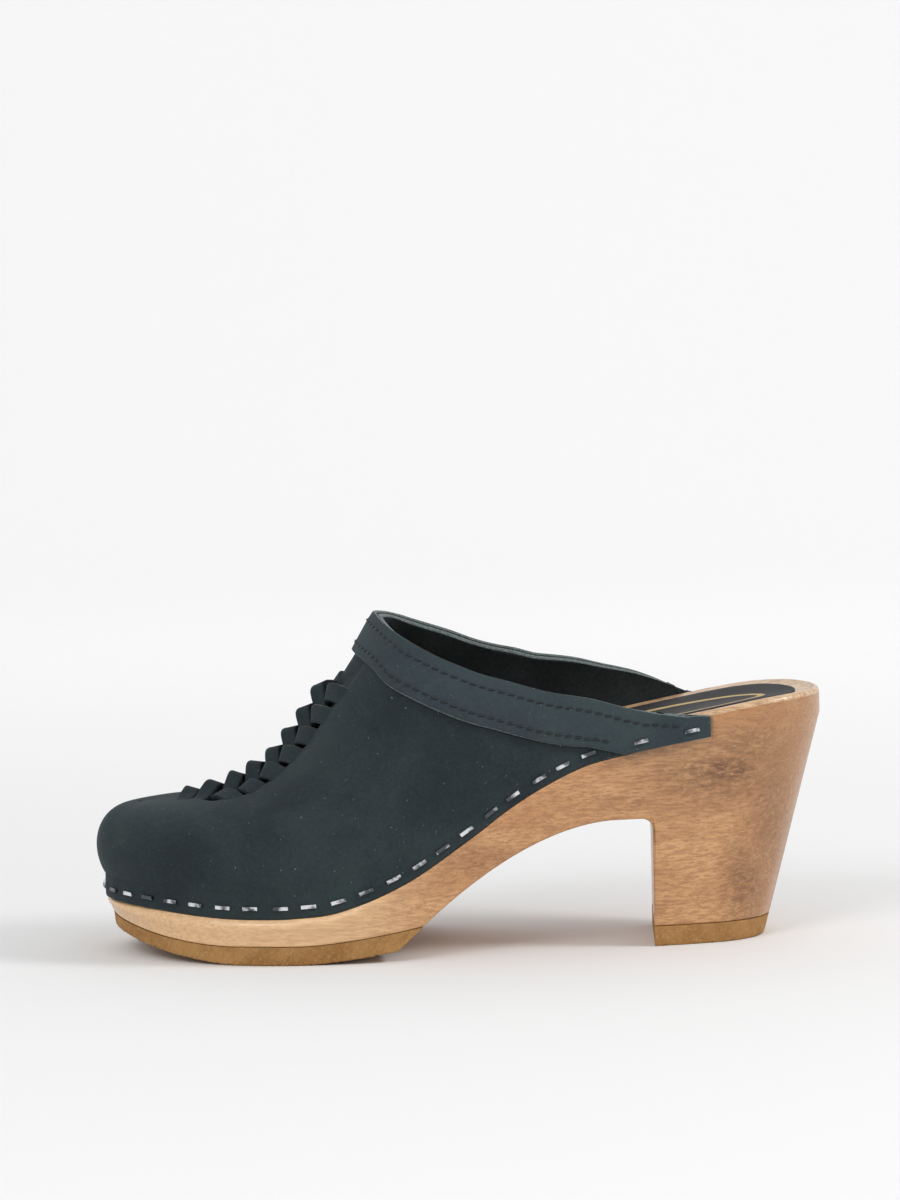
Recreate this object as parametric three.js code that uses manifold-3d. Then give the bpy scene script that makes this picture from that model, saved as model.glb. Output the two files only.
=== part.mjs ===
// A high-heeled wooden clog for the left foot, in millimetres.
//
// The toe points along -X, the outer (lateral) side of the foot faces -Y and the ground is z = 0.
// A carved wooden sole carries a leather upper, held in a rebate round the sole's edge by wire staples.
// The upper's instep is laced from strips cut in its own leather, and a stitched collar edges the opening.
//
// Everything is measured on two surfaces: the sole's side wall, a ruled surface from the plan outline down
// to the underside, and the last, the foot shape inside the upper, on which every leather layer lies.
import * as THREE from "three";
import { mergeVertices } from "three/addons/utils/BufferGeometryUtils.js";
import Module from "manifold-3d";

const wasm = await Module();
wasm.setup();

// ---------------------------------------------------------------- driving dimensions

const SOLE_LENGTH = 239;
const PATTERN_LENGTH = 239; // the length that every place along the shoe below is drawn for
const SOLE_WIDTH = 90;

// A place along the shoe, as it falls on a sole of the length wanted.
const along = (x) => (x * SOLE_LENGTH) / PATTERN_LENGTH;

const SEAT_HEIGHT = 83; // top of the sole at the heel
const FOREFOOT_HEIGHT = 24; // top of the sole under the ball of the foot
const TOE_RISE = 2.6; // how much higher the sole's top is at the toe than at the ball
const TOE_SPRING = 8; // height of the tread above the ground at the toe
const HEEL_ROCKER = 3.5; // height of the forefoot tread's rear end above the ground
const ARCH_HEIGHT = 43.5; // underside of the waist in front of the heel
const ARCH_APEX_X = along(50);
const ARCH_START_X = along(-15); // where the arch meets the forefoot tread's top
const ARCH_START = 10.7; // and how high it is there
const BREAST_X = along(62.5); // front face of the heel
const BREAST_FILLET = 3.5;
const BREAST_SKEW = 0.05; // how far the underside's shapes move towards the heel for each millimetre inwards
const HEEL_BACK_X = along(101.5); // back of the heel at the ground
const SIDE_TAPER = 0.1; // how far the side wall leans in for each millimetre below the ledge
const RIM_EDGE = 1.8; // chamfer round the top of the sole
const SEAT_DISH = 2.4; // hollow of the footbed below its rim

const TREAD = 6; // forefoot crepe
const TREAD_TOE = 4; // the same, where it thins at the toe
const HEEL_TREAD = 6.5;

const REBATE_HEIGHT = 8.5; // height of the leather margin stapled to the sole
const LEATHER = 2.2;
const COLLAR_LEATHER = 1.6;
const COLLAR_WIDTH = 15;
const COLLAR_OVERRUN = 2; // how far its trimming region runs past it
const TOE_PUFF = 0.9;
const TOE_PUFF_END_X = along(-72);
const SOCK = 1.2;
const SOCK_MARGIN = 4.5;
const SOCK_FRONT_X = along(16);

const THREAD_RADIUS = 0.35;
const UPPER_SEAM = 3.8; // the two rows of stitches, measured down from the collar's top edge
const LOWER_SEAM = 12;
const SEAM_CLEAR = 2; // a row ends where it comes this near to the line of staples

const STAPLES_PER_SIDE = 23;
const STAPLE_WIDTH = 5;
const STAPLE_LEG = 9;
const STAPLE_WIRE = 0.7;
const STAPLE_DEPTH = 1.2; // height of the flat wire
const STAPLE_RISE = 3.9; // above the sole's ledge
const STAPLE_TAIL = 7; // from the last one to the end of the upper
const COLLAR_STAPLES = 2; // how many on each side hold the collar too

const STRIPS = 8; // from the inner side, with one fewer between them from the outer side
const STRIP_WIDTH = 6;
const STRIP_RELIEF = 1.3; // how far a strip stands off the leather
const STRIP_ROOT = 0.5; // how deep in the leather a strip's solid starts, from its inner face
const STRIP_REACH = 12; // from the ridge to the end of the strip's slit
const STRIP_TIP = 4.5; // and on past the ridge to its tip
const LACING_START_X = along(-90);
const LACING_PITCH = 9.1; // along the ridge
const LACING_SLANT = 0.75; // how far a strip runs towards the heel for each millimetre from the ridge

const GAP = 0.3; // clearance between touching pieces

// ---------------------------------------------------------------- profiles

// Plan outline: distance from the toe as a share of the length, then the lateral and medial edges as
// shares of the width.
const OUTLINE = [
  [0, 0.06, 0.06],
  [0.008, -0.07, 0.18],
  [0.034, -0.206, 0.278],
  [0.075, -0.328, 0.367],
  [0.14, -0.433, 0.444],
  [0.224, -0.502, 0.483],
  [0.316, -0.522, 0.467],
  [0.408, -0.515, 0.417],
  [0.5, -0.48, 0.361],
  [0.609, -0.425, 0.317],
  [0.718, -0.38, 0.3],
  [0.826, -0.35, 0.311],
  [0.91, -0.311, 0.289],
  [0.964, -0.228, 0.217],
  [0.992, -0.117, 0.111],
  [1, 0, 0],
];

// The rim's climb from the ball to the seat: x, then the share of the rise.
const RIM_CLIMB = [
  [-72, 0],
  [-58, 0.004],
  [-42, 0.036],
  [-20, 0.183],
  [2, 0.42],
  [15, 0.575],
  [28, 0.7],
  [41, 0.795],
  [54, 0.845],
  [80, 0.925],
  [100, 0.98],
  [114, 1],
];

// The last's ridge over the instep: x, then the height above the rim. Behind the throat it runs on as the
// top of the foot, which only shapes the walls of the opening.
const RIDGE = [
  [-107, 21],
  [-93.5, 23.7],
  [-81.5, 25.6],
  [-70.5, 28.2],
  [-63.5, 32.2],
  [-57, 37.4],
  [-51, 43.6],
  [-46, 50.1],
  [-40.5, 57.2],
  [-32.5, 66],
  [-24, 76.5],
  [-16, 81],
  [-5, 75],
  [10, 59],
  [28, 42],
  [54, 30],
  [84, 20],
];

// The opening's top edge on each side: x, then the height above the rim.
const TOP_LINE_LATERAL = [
  [-24, 76.5],
  [-22.5, 74.2],
  [-19.5, 70.2],
  [-14, 63],
  [-3, 50.2],
  [12, 34.4],
  [29, 20],
  [46, 10.8],
  [63, 3.8],
  [82, -1.4],
];
const TOP_LINE_MEDIAL = [
  [-24, 76.5],
  [-22.5, 75.4],
  [-19.5, 72.8],
  [-14, 67],
  [-3, 55.8],
  [12, 39.4],
  [29, 24.9],
  [46, 16.6],
  [63, 9.9],
  [82, -1.4],
];
const THROAT_X = along(-24);
const TAIL_X = along(82); // where the upper ends on each side

// Depth of the rebate round the sole's edge: x, then millimetres.
const REBATE_DEPTH = [
  [-117.5, 0.5],
  [-110, 1.2],
  [-98, 2.3],
  [40, 2.3],
  [70, 1.1],
  [82, 0.5],
];

const TOE_X = -SOLE_LENGTH / 2 + 2;
const BACK_X = TOE_X + SOLE_LENGTH;
const FAN_X = along(-88); // in front of this the last's sections fan round the toe
const FAN_TOP_X = along(-106); // where the first of them meets the ridge
const RIDGE_Y = 0.035; // the ridge's place across the width, as a share of it
const CROWN_POWER = 0.9; // of the last's section: 1 is round, less is squarer
const TOE_BULGE = 3.5;
const SIDE_BULGE = 0.9;

// The power of the last's side, from the square toe box to the pointed instep: x, then the power.
const SIDE_POWER = [
  [-100, 0.66],
  [-75, 0.85],
  [-45, 1.25],
  [-24, 1.6],
  [2, 1.4],
  [60, 0.9],
];

// How far the collar's lower edge lies towards the toe from its top edge: x, then the share of its width.
const COLLAR_SLANT = [
  [-24, 0.5],
  [-14, 0.45],
  [6, 0.28],
  [30, 0.17],
  [82, 0],
];

const LATERAL = 1;
const MEDIAL = 2;

// ---------------------------------------------------------------- curves

const { lerp, clamp } = THREE.MathUtils;
const smooth = (t) => t * t * (3 - 2 * t);

// Catmull-Rom between b and c.
function catmullRom(a, b, c, d, t) {
  return 0.5 * (2 * b + (c - a) * t + (2 * a - 5 * b + 4 * c - d) * t * t + (3 * b - a - 3 * c + d) * t * t * t);
}

// Smooth curve through rows of [x, value] on the pattern, flat beyond its ends.
function curve(rows, place) {
  const x = place / along(1);
  const last = rows.length - 1;
  if (x <= rows[0][0]) return rows[0][1];
  if (x >= rows[last][0]) return rows[last][1];
  const i = rows.findIndex((row) => row[0] > x) - 1;
  const slope = (j) => {
    const a = rows[Math.max(j - 1, 0)];
    const b = rows[Math.min(j + 1, last)];
    return (b[1] - a[1]) / (b[0] - a[0]);
  };
  const [x0, y0] = rows[i];
  const [x1, y1] = rows[i + 1];
  const width = x1 - x0;
  const t = (x - x0) / width;
  const rise = smooth(t);
  const tangents = (t - 2 * t * t + t * t * t) * slope(i) + (t * t * t - t * t) * slope(i + 1);
  return lerp(y0, y1, rise) + tangents * width;
}

// A number between low and high at which a rising function reaches target.
function solve(rising, target, low, high) {
  for (let i = 0; i < 40; i++) {
    const middle = (low + high) / 2;
    if (rising(middle) < target) low = middle;
    else high = middle;
  }
  return (low + high) / 2;
}

// ---------------------------------------------------------------- plan outline

const LAST_ROW = OUTLINE.length - 1;

// One row of the outline. Past either end it carries on round the other side, so that the ends are round.
function outlineRow(i, side) {
  const other = LATERAL + MEDIAL - side;
  if (i < 0) return [OUTLINE[-i][0], OUTLINE[-i][other]];
  if (i > LAST_ROW) return [OUTLINE[2 * LAST_ROW - i][0], OUTLINE[2 * LAST_ROW - i][other]];
  return [OUTLINE[i][0], OUTLINE[i][side]];
}

// Point of the outline at row number q, which need not be whole.
function outline(side, q) {
  const i = Math.min(Math.floor(q), LAST_ROW - 1);
  const rows = [-1, 0, 1, 2].map((k) => outlineRow(i + k, side));
  const [share, across] = [0, 1].map((k) => catmullRom(...rows.map((row) => row[k]), q - i));
  return new THREE.Vector2(TOE_X + share * SOLE_LENGTH, across * SOLE_WIDTH);
}

const rowAt = (side, x) => solve((q) => outline(side, q).x, x, 0, LAST_ROW);

// Outward normal of the outline in plan.
function outlineNormal(side, q) {
  const step = 0.01;
  const ahead = outline(side, Math.min(q + step, LAST_ROW));
  const behind = outline(side, Math.max(q - step, 0));
  const along = ahead.sub(behind).normalize();
  if (q < step || q > LAST_ROW - step) return new THREE.Vector2(q < step ? -1 : 1, 0);
  return side === LATERAL ? new THREE.Vector2(along.y, -along.x) : new THREE.Vector2(-along.y, along.x);
}

const rebateDepth = (x) => (x > TAIL_X + 2 * GAP ? 0 : curve(REBATE_DEPTH, x));

function insetOutline(side, q, inset) {
  return outline(side, q).addScaledVector(outlineNormal(side, q), -inset);
}

// ---------------------------------------------------------------- heights

function rimHeight(x) {
  const climb = (SEAT_HEIGHT - FOREFOOT_HEIGHT) * curve(RIM_CLIMB, x);
  const toe = clamp((along(RIM_CLIMB[0][0]) - x) / (along(RIM_CLIMB[0][0]) - TOE_X), 0, 1);
  return FOREFOOT_HEIGHT + climb + TOE_RISE * smooth(toe);
}

const ledgeHeight = (x) => rimHeight(x) - REBATE_HEIGHT;
const stapleHeight = (x) => ledgeHeight(x) + STAPLE_RISE;

const FLAT_FRONT_X = along(-74);
const FLAT_REAR_X = along(-55);
const ROCKER_END_X = along(-24);

const toeShare = (x) => clamp((FLAT_FRONT_X - x) / (FLAT_FRONT_X - TOE_X), 0, 1.3);

function treadBottom(x) {
  const rear = clamp((x - FLAT_REAR_X) / (ROCKER_END_X - FLAT_REAR_X), 0, 2);
  return TOE_SPRING * toeShare(x) ** 1.7 + HEEL_ROCKER * rear ** 1.5;
}

const treadTop = (x) => treadBottom(x) + lerp(TREAD, TREAD_TOE, toeShare(x));

function archHeight(x) {
  const back = Math.max((ARCH_APEX_X - x) / (ARCH_APEX_X - ARCH_START_X), 0);
  return ARCH_HEIGHT - (ARCH_HEIGHT - ARCH_START) * back ** 1.8;
}

// ---------------------------------------------------------------- solids from grids

const vector = (x, y, z) => new THREE.Vector3(x, y, z);

function merged(positions) {
  const geometry = new THREE.BufferGeometry();
  geometry.setAttribute("position", new THREE.Float32BufferAttribute(positions, 3));
  return withoutSlivers(mergeVertices(geometry, 1e-3));
}

// Drops the triangles that closed up when their corners met.
function withoutSlivers(geometry) {
  const index = [];
  for (let i = 0; i < geometry.index.count; i += 3) {
    const [a, b, c] = [0, 1, 2].map((k) => geometry.index.getX(i + k));
    if (a !== b && b !== c && c !== a) index.push(a, b, c);
  }
  geometry.setIndex(index);
  return geometry;
}

function trianglesOfGrid(grid) {
  const out = [];
  const put = (...points) => points.forEach((p) => out.push(p.x, p.y, p.z));
  for (let i = 0; i + 1 < grid.length; i++) {
    for (let j = 0; j + 1 < grid[i].length; j++) {
      const [a, b, c, d] = [grid[i][j], grid[i + 1][j], grid[i + 1][j + 1], grid[i][j + 1]];
      put(a, b, c);
      put(a, c, d);
    }
  }
  return out;
}

// A solid through rings of points, the first closed by strips across it and the last closing on itself.
function loftedSolid(rings) {
  const positions = trianglesOfGrid(rings.map((ring) => [...ring, ring[0]]));
  const base = rings[0];
  for (let k = 0; k + 1 < base.length / 2; k++) {
    const [a, b] = [base[k], base[k + 1]];
    const [c, d] = [base[base.length - 2 - k], base[base.length - 1 - k]];
    [a, b, c, a, c, d].forEach((p) => positions.push(p.x, p.y, p.z));
  }
  return merged(positions);
}

// A wall on sheets of points, between two offsets along the sheets' own normals.
function thickened(grids, from, to) {
  const sheet = merged(grids.flatMap(trianglesOfGrid));
  sheet.computeVertexNormals();
  const corner = (i, offset) => {
    const p = new THREE.Vector3().fromBufferAttribute(sheet.attributes.position, i);
    const n = new THREE.Vector3().fromBufferAttribute(sheet.attributes.normal, i);
    return p.addScaledVector(n, offset);
  };
  const positions = [];
  const put = (points) => points.forEach((p) => positions.push(p.x, p.y, p.z));
  const edges = new Map();
  for (let i = 0; i < sheet.index.count; i += 3) {
    const face = [0, 1, 2].map((k) => sheet.index.getX(i + k));
    put(face.map((v) => corner(v, to)));
    put([...face].reverse().map((v) => corner(v, from)));
    face.forEach((a, k) => {
      const b = face[(k + 1) % 3];
      if (!edges.delete(`${b} ${a}`)) edges.set(`${a} ${b}`, [a, b]);
    });
  }
  for (const [a, b] of edges.values()) {
    put([corner(a, to), corner(a, from), corner(b, from)]);
    put([corner(a, to), corner(b, from), corner(b, to)]);
  }
  return merged(positions);
}

const BAR_WIDTH = 2 * SOLE_WIDTH;
const SKEW_FROM = 0.39 * SOLE_WIDTH; // the outer side, where the profiles stay in place

// A bar across the shoe whose view from the outer side is the given outline of [x, z] points.
function crossBar(points, width) {
  const shape = new THREE.Shape(points.map(([x, z]) => new THREE.Vector2(x, z)));
  const geometry = new THREE.ExtrudeGeometry(shape, { depth: width, bevelEnabled: false });
  geometry.rotateX(Math.PI / 2).translate(0, width / 2, 0);
  const skew = new THREE.Matrix4().makeShear(0, 0, BREAST_SKEW, 0, 0, 0);
  return geometry.applyMatrix4(skew.setPosition(BREAST_SKEW * SKEW_FROM, 0, 0));
}

// ---------------------------------------------------------------- booleans

function solidOf(geometry) {
  const bare = geometry.clone();
  bare.deleteAttribute("normal");
  bare.deleteAttribute("uv");
  const whole = withoutSlivers(mergeVertices(bare, 1e-3));
  const mesh = new wasm.Mesh({
    numProp: 3,
    vertProperties: new Float32Array(whole.attributes.position.array),
    triVerts: new Uint32Array(whole.index.array),
  });
  return new wasm.Manifold(mesh);
}

function geometryOf(solid) {
  const mesh = solid.getMesh();
  const geometry = new THREE.BufferGeometry();
  geometry.setAttribute("position", new THREE.Float32BufferAttribute(mesh.vertProperties, 3));
  geometry.setIndex(new THREE.BufferAttribute(mesh.triVerts, 1));
  geometry.computeVertexNormals();
  return geometry;
}

// The solid without the pockets of air that its pieces trapped between them.
function filled(solid) {
  return solid.decompose().reduce((best, body) => (body.volume() > best.volume() ? body : best));
}

const cutFrom = (solid, cutters) => cutters.reduce((rest, cutter) => rest.subtract(cutter), solid);

// ---------------------------------------------------------------- stations

// Positions along the shoe, closer together round the toe and the back, and where the upper's edges need them.
function stations() {
  const count = 40;
  const edges = [THROAT_X, THROAT_X + 0.6, THROAT_X + 2, THROAT_X + 4.5, TAIL_X, TAIL_X + GAP, TAIL_X + 2.1 * GAP];
  const even = Array.from({ length: count + 1 }, (_, i) => {
    const share = i / count;
    return lerp(TOE_X, BACK_X, share - (0.85 * Math.sin(2 * Math.PI * share)) / (2 * Math.PI));
  });
  const clear = even.filter((x) => edges.every((edge) => Math.abs(edge - x) > 1.2));
  return [...clear, ...edges].sort((a, b) => a - b);
}

const STATIONS = stations();

// ---------------------------------------------------------------- wooden sole and treads

// The sole's side wall. It leans in below the ledge, and the heel's back leans forward.
function wallPoint(side, x, z) {
  const q = rowAt(side, x);
  const below = Math.max(ledgeHeight(x) - z, 0);
  const normal = outlineNormal(side, q);
  const point = outline(side, q);
  if (x < BREAST_X) point.addScaledVector(normal, -SIDE_TAPER * below);
  else {
    const lean = ((BACK_X - HEEL_BACK_X) * below) / ledgeHeight(BACK_X);
    point.x -= (lean * (x - BREAST_X)) / (BACK_X - BREAST_X);
    point.y -= SIDE_TAPER * below * normal.y;
  }
  return vector(point.x, point.y, z);
}

// The footbed's edge in plan, and the point halfway across it.
function bedEdge(side, x, margin) {
  return insetOutline(side, rowAt(side, x), rebateDepth(x) + RIM_EDGE + margin);
}

// Point of the footbed, share of the way from its middle to its edge.
function bedPoint(side, x, share, margin, lift) {
  const edge = bedEdge(side, x, margin);
  const far = bedEdge(LATERAL + MEDIAL - side, x, margin);
  const middle = edge.clone().add(far).multiplyScalar(0.5);
  const hollow = SEAT_DISH * clamp(edge.distanceTo(middle) / 22, 0, 1);
  const plan = middle.lerp(edge, share);
  return vector(plan.x, plan.y, rimHeight(x) - hollow * (1 - share ** 2) + lift);
}

// A ring of one point per station and side, from the toe along the inner side and back along the outer one.
function ring(pointAt) {
  const lateral = STATIONS.map((x) => pointAt(LATERAL, x));
  const medial = STATIONS.map((x) => pointAt(MEDIAL, x));
  return [...medial, ...lateral.reverse()];
}

function soleBlank() {
  const rebateWall = (side, x, z) => {
    const plan = insetOutline(side, rowAt(side, x), rebateDepth(x));
    return vector(plan.x, plan.y, z);
  };
  const rings = [
    ring((side, x) => wallPoint(side, x, -2)),
    ring((side, x) => wallPoint(side, x, ledgeHeight(x))),
    ring((side, x) => rebateWall(side, x, ledgeHeight(x))),
    ring((side, x) => rebateWall(side, x, rimHeight(x) - RIM_EDGE)),
    ...[1, 0.62, 0.28, 0].map((share) => ring((side, x) => bedPoint(side, x, share, 0, 0))),
  ];
  return solidOf(loftedSolid(rings));
}

const PROFILE_STEP = 5;

function profile(heightAt, from, to) {
  const count = Math.ceil((to - from) / PROFILE_STEP);
  return Array.from({ length: count + 1 }, (_, i) => {
    const x = lerp(from, to, i / count);
    return [x, heightAt(x)];
  });
}

// Everything the wood leaves clear: the forefoot tread, the arch in front of the heel and the heel tread.
function undersideCutter() {
  const bottom = (x) => treadTop(x) + GAP;
  const meet = solve((x) => archHeight(x) - bottom(x), 0, FLAT_REAR_X, ARCH_APEX_X);
  const fillet = Array.from({ length: 5 }, (_, i) => {
    const turn = (Math.PI / 8) * i;
    const [x, z] = [BREAST_X - BREAST_FILLET, ARCH_HEIGHT - BREAST_FILLET];
    return [x + BREAST_FILLET * Math.sin(turn), z + BREAST_FILLET * Math.cos(turn)];
  });
  const far = SOLE_LENGTH;
  const points = [
    [-far, -far],
    [-far, bottom(TOE_X - PROFILE_STEP)],
    ...profile(bottom, TOE_X - PROFILE_STEP, meet),
    ...profile(archHeight, meet, BREAST_X - BREAST_FILLET).slice(1, -1),
    ...fillet,
    [BREAST_X, HEEL_TREAD + GAP],
    [far, HEEL_TREAD + GAP],
    [far, -far],
  ];
  return solidOf(crossBar(points, BAR_WIDTH));
}

function forefootTread(blank) {
  const start = TOE_X - PROFILE_STEP;
  const heel = solve((x) => archHeight(x) - treadBottom(x), 0, FLAT_REAR_X, ARCH_APEX_X);
  const top = solve((x) => archHeight(x) - treadTop(x), 0, FLAT_REAR_X, ARCH_APEX_X);
  const points = [...profile(treadBottom, start, heel), ...profile(treadTop, start, top).reverse()];
  return blank.intersect(solidOf(crossBar(points, BAR_WIDTH)));
}

function heelTread(blank) {
  const [front, back] = [BREAST_X, BACK_X + PROFILE_STEP];
  const points = [[front, 0], [back, 0], [back, HEEL_TREAD], [front, HEEL_TREAD]];
  return blank.intersect(solidOf(crossBar(points, BAR_WIDTH)));
}

function heelSock() {
  const columns = STATIONS.filter((x) => x > SOCK_FRONT_X).map((x) => {
    const lateral = [1, 0.6, 0.25].map((share) => bedPoint(LATERAL, x, share, SOCK_MARGIN, 0));
    const medial = [0, 0.25, 0.6, 1].map((share) => bedPoint(MEDIAL, x, share, SOCK_MARGIN, 0));
    return [...lateral, ...medial];
  });
  return thickened([columns], GAP, GAP + SOCK);
}

// ---------------------------------------------------------------- the last

const ridgeY = (x) => RIDGE_Y * SOLE_WIDTH * (1 - smooth(clamp((x - THROAT_X) / (TAIL_X - THROAT_X), 0, 1)));
const ridgeHeight = (x) => rimHeight(x) + curve(RIDGE, x);

// Where a section of the last starts, on top of the stapled margin.
function lastFoot(side, x) {
  const plan = insetOutline(side, rowAt(side, x), rebateDepth(x) - GAP);
  return vector(plan.x, plan.y, rimHeight(x));
}

// Where it ends, on the ridge. The first sections fan out from the front of the ridge.
function lastCrown(x) {
  const share = clamp((x - TOE_X) / (FAN_X - TOE_X), 0, 1);
  const crownX = x < FAN_X ? lerp(FAN_TOP_X, FAN_X, share ** 0.8) : x;
  return vector(crownX, ridgeY(crownX), ridgeHeight(crownX));
}

// Point of the last on the section at x. climb runs from 0 at the margin's top to 1 at the ridge, and is
// negative down the margin, to -1 at its lower edge.
function lastPoint(side, x, climb) {
  const foot = lastFoot(side, x);
  if (climb <= 0) return foot.setZ(foot.z + climb * (REBATE_HEIGHT - GAP));
  const crown = lastCrown(x);
  const angle = (Math.PI / 2) * climb;
  const inward = 1 - Math.max(Math.cos(angle), 0) ** curve(SIDE_POWER, x);
  const toe = 1 - clamp((x - TOE_X) / (FAN_X + 30 - TOE_X), 0, 1);
  const bulge = lerp(SIDE_BULGE, TOE_BULGE, toe) * Math.sin(Math.PI * climb ** 0.7);
  const outward = vector(foot.x - crown.x, foot.y - crown.y, 0).normalize();
  const upward = Math.sin(angle) ** CROWN_POWER;
  const point = vector(lerp(foot.x, crown.x, inward), lerp(foot.y, crown.y, inward), 0);
  return point.addScaledVector(outward, bulge).setZ(lerp(foot.z, crown.z, upward));
}

// The climb at which the section at x reaches the height z.
function climbAt(x, z) {
  const above = z - rimHeight(x);
  if (above <= 0) return Math.max(above / (REBATE_HEIGHT - GAP), -1);
  const share = Math.min(above / (lastCrown(x).z - rimHeight(x)), 1);
  return Math.asin(share ** (1 / CROWN_POWER)) / (Math.PI / 2);
}

const topLine = (side) => (side === LATERAL ? TOP_LINE_LATERAL : TOP_LINE_MEDIAL);
const topHeight = (side, x) => rimHeight(x) + curve(topLine(side), x);
const topClimb = (side, x) => (x <= THROAT_X ? 1 : climbAt(x, topHeight(side, x)));

// Columns of points wound so that the sheet faces out on either side.
const outwardSheet = (side, columns) => (side === LATERAL ? columns : [...columns].reverse());

// ---------------------------------------------------------------- upper

const UPPER_ROWS = 9;

function upperSheet(side) {
  const columns = STATIONS.filter((x) => x <= TAIL_X).map((x) => {
    const top = topClimb(side, x);
    const rows = Array.from({ length: UPPER_ROWS }, (_, j) => j / (UPPER_ROWS - 1));
    const climbs = top > 0.05 ? [-1, ...rows.map((t) => top * t ** 0.9)] : [-1, ...rows.map((t) => lerp(-0.9, top, t))];
    return climbs.map((climb) => lastPoint(side, x, climb));
  });
  return outwardSheet(side, columns);
}

// Point of the last at a distance down one side from the ridge.
function besideRidge(x, across) {
  const side = across < 0 ? LATERAL : MEDIAL;
  let climb = 1;
  let last = lastPoint(side, x, 1);
  for (let run = 0; run < Math.abs(across); ) {
    climb -= 0.002;
    const next = lastPoint(side, x, climb);
    run += next.distanceTo(last);
    last = next;
  }
  return last;
}

// Length of the ridge from the lacing's first strip to x, and the x at a length.
function ridgeRun(x) {
  const count = 60;
  const points = Array.from({ length: count + 1 }, (_, i) => lastCrown(lerp(LACING_START_X, x, i / count)));
  const run = points.slice(1).reduce((sum, point, i) => sum + point.distanceTo(points[i]), 0);
  return x < LACING_START_X ? -run : run;
}

const ridgeX = (run) => solve(ridgeRun, run, LACING_START_X - 2 * LACING_PITCH, 0);

// One lacing strip, from the end of its slit on one side over the ridge to its tip on the other.
function lacingStrip(number, side) {
  const sign = side === LATERAL ? -1 : 1;
  const start = LACING_PITCH * (number + (side === LATERAL ? 0.5 : 0));
  const columns = [-0.5, 0.5].map((half) => {
    return Array.from({ length: 7 }, (_, i) => {
      const across = lerp(STRIP_REACH, -STRIP_TIP, i / 6);
      return besideRidge(ridgeX(start + half * STRIP_WIDTH + LACING_SLANT * across), sign * across);
    });
  });
  const sheet = side === LATERAL ? columns : columns.reverse();
  return solidOf(thickened([sheet], STRIP_ROOT, LEATHER + STRIP_RELIEF));
}

// A layer lying on the last, between two distances from it.
function layer(from, to) {
  return solidOf(thickened([upperSheet(LATERAL), upperSheet(MEDIAL)], from, to));
}

function upper(slots) {
  const strips = [LATERAL, MEDIAL].flatMap((side) => {
    return Array.from({ length: side === LATERAL ? STRIPS - 1 : STRIPS }, (_, i) => lacingStrip(i, side));
  });
  const laced = strips.reduce((whole, strip) => whole.add(strip), layer(0, LEATHER));
  return cutFrom(filled(laced), slots);
}

// The stiffener inside the toe, down to the sole's rim.
function toePuff() {
  const low = profile((x) => rimHeight(x) + GAP, TOE_X - PROFILE_STEP, TOE_PUFF_END_X);
  const region = [...low, [TOE_PUFF_END_X, SEAT_HEIGHT], [TOE_X - PROFILE_STEP, SEAT_HEIGHT]];
  return layer(-GAP - TOE_PUFF, -GAP).intersect(solidOf(crossBar(region, BAR_WIDTH)));
}

// ---------------------------------------------------------------- collar

// How far down the side the collar reaches: its width, or to the margin's lower edge behind.
function collarReach(side, x) {
  return Math.min(COLLAR_WIDTH, topHeight(side, x) - ledgeHeight(x) - GAP);
}

// Point of the last at a distance down from the top edge's station x.
function collarPoint(side, x, down) {
  const slant = curve(COLLAR_SLANT, x);
  const lowX = x - slant * down;
  const onRidge = ridgeHeight(x) - ridgeHeight(lowX);
  const onSide = Math.sqrt(1 - slant ** 2) * down;
  const drop = lerp(onRidge, onSide, smooth(clamp((x - THROAT_X) / 9, 0, 1)));
  const climb = x === THROAT_X ? 1 : climbAt(lowX, topHeight(side, x) - drop);
  return lastPoint(side, lowX, climb);
}

const COLLAR_STATIONS = STATIONS.filter((x) => x >= THROAT_X && x <= TAIL_X);

// Sheets on the last under the collar, running on past its top edge and its ends.
function collarSheets() {
  return [LATERAL, MEDIAL].map((side) => {
    const columns = [...COLLAR_STATIONS, TAIL_X + COLLAR_OVERRUN].map((x) => {
      const downs = [1, 0.66, 0.33, 0].map((share) => share * collarReach(side, x));
      return [...downs, -COLLAR_OVERRUN].map((down) => collarPoint(side, x, down));
    });
    return outwardSheet(side, columns);
  });
}

function collarBand(slots) {
  const inside = LEATHER + GAP;
  const outside = inside + COLLAR_LEATHER;
  const region = solidOf(thickened(collarSheets(), inside - COLLAR_OVERRUN, outside + COLLAR_OVERRUN));
  return cutFrom(layer(inside, outside).intersect(region), slots);
}

const SEAM_POINTS = 22; // on each side, closer together at the throat

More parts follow.
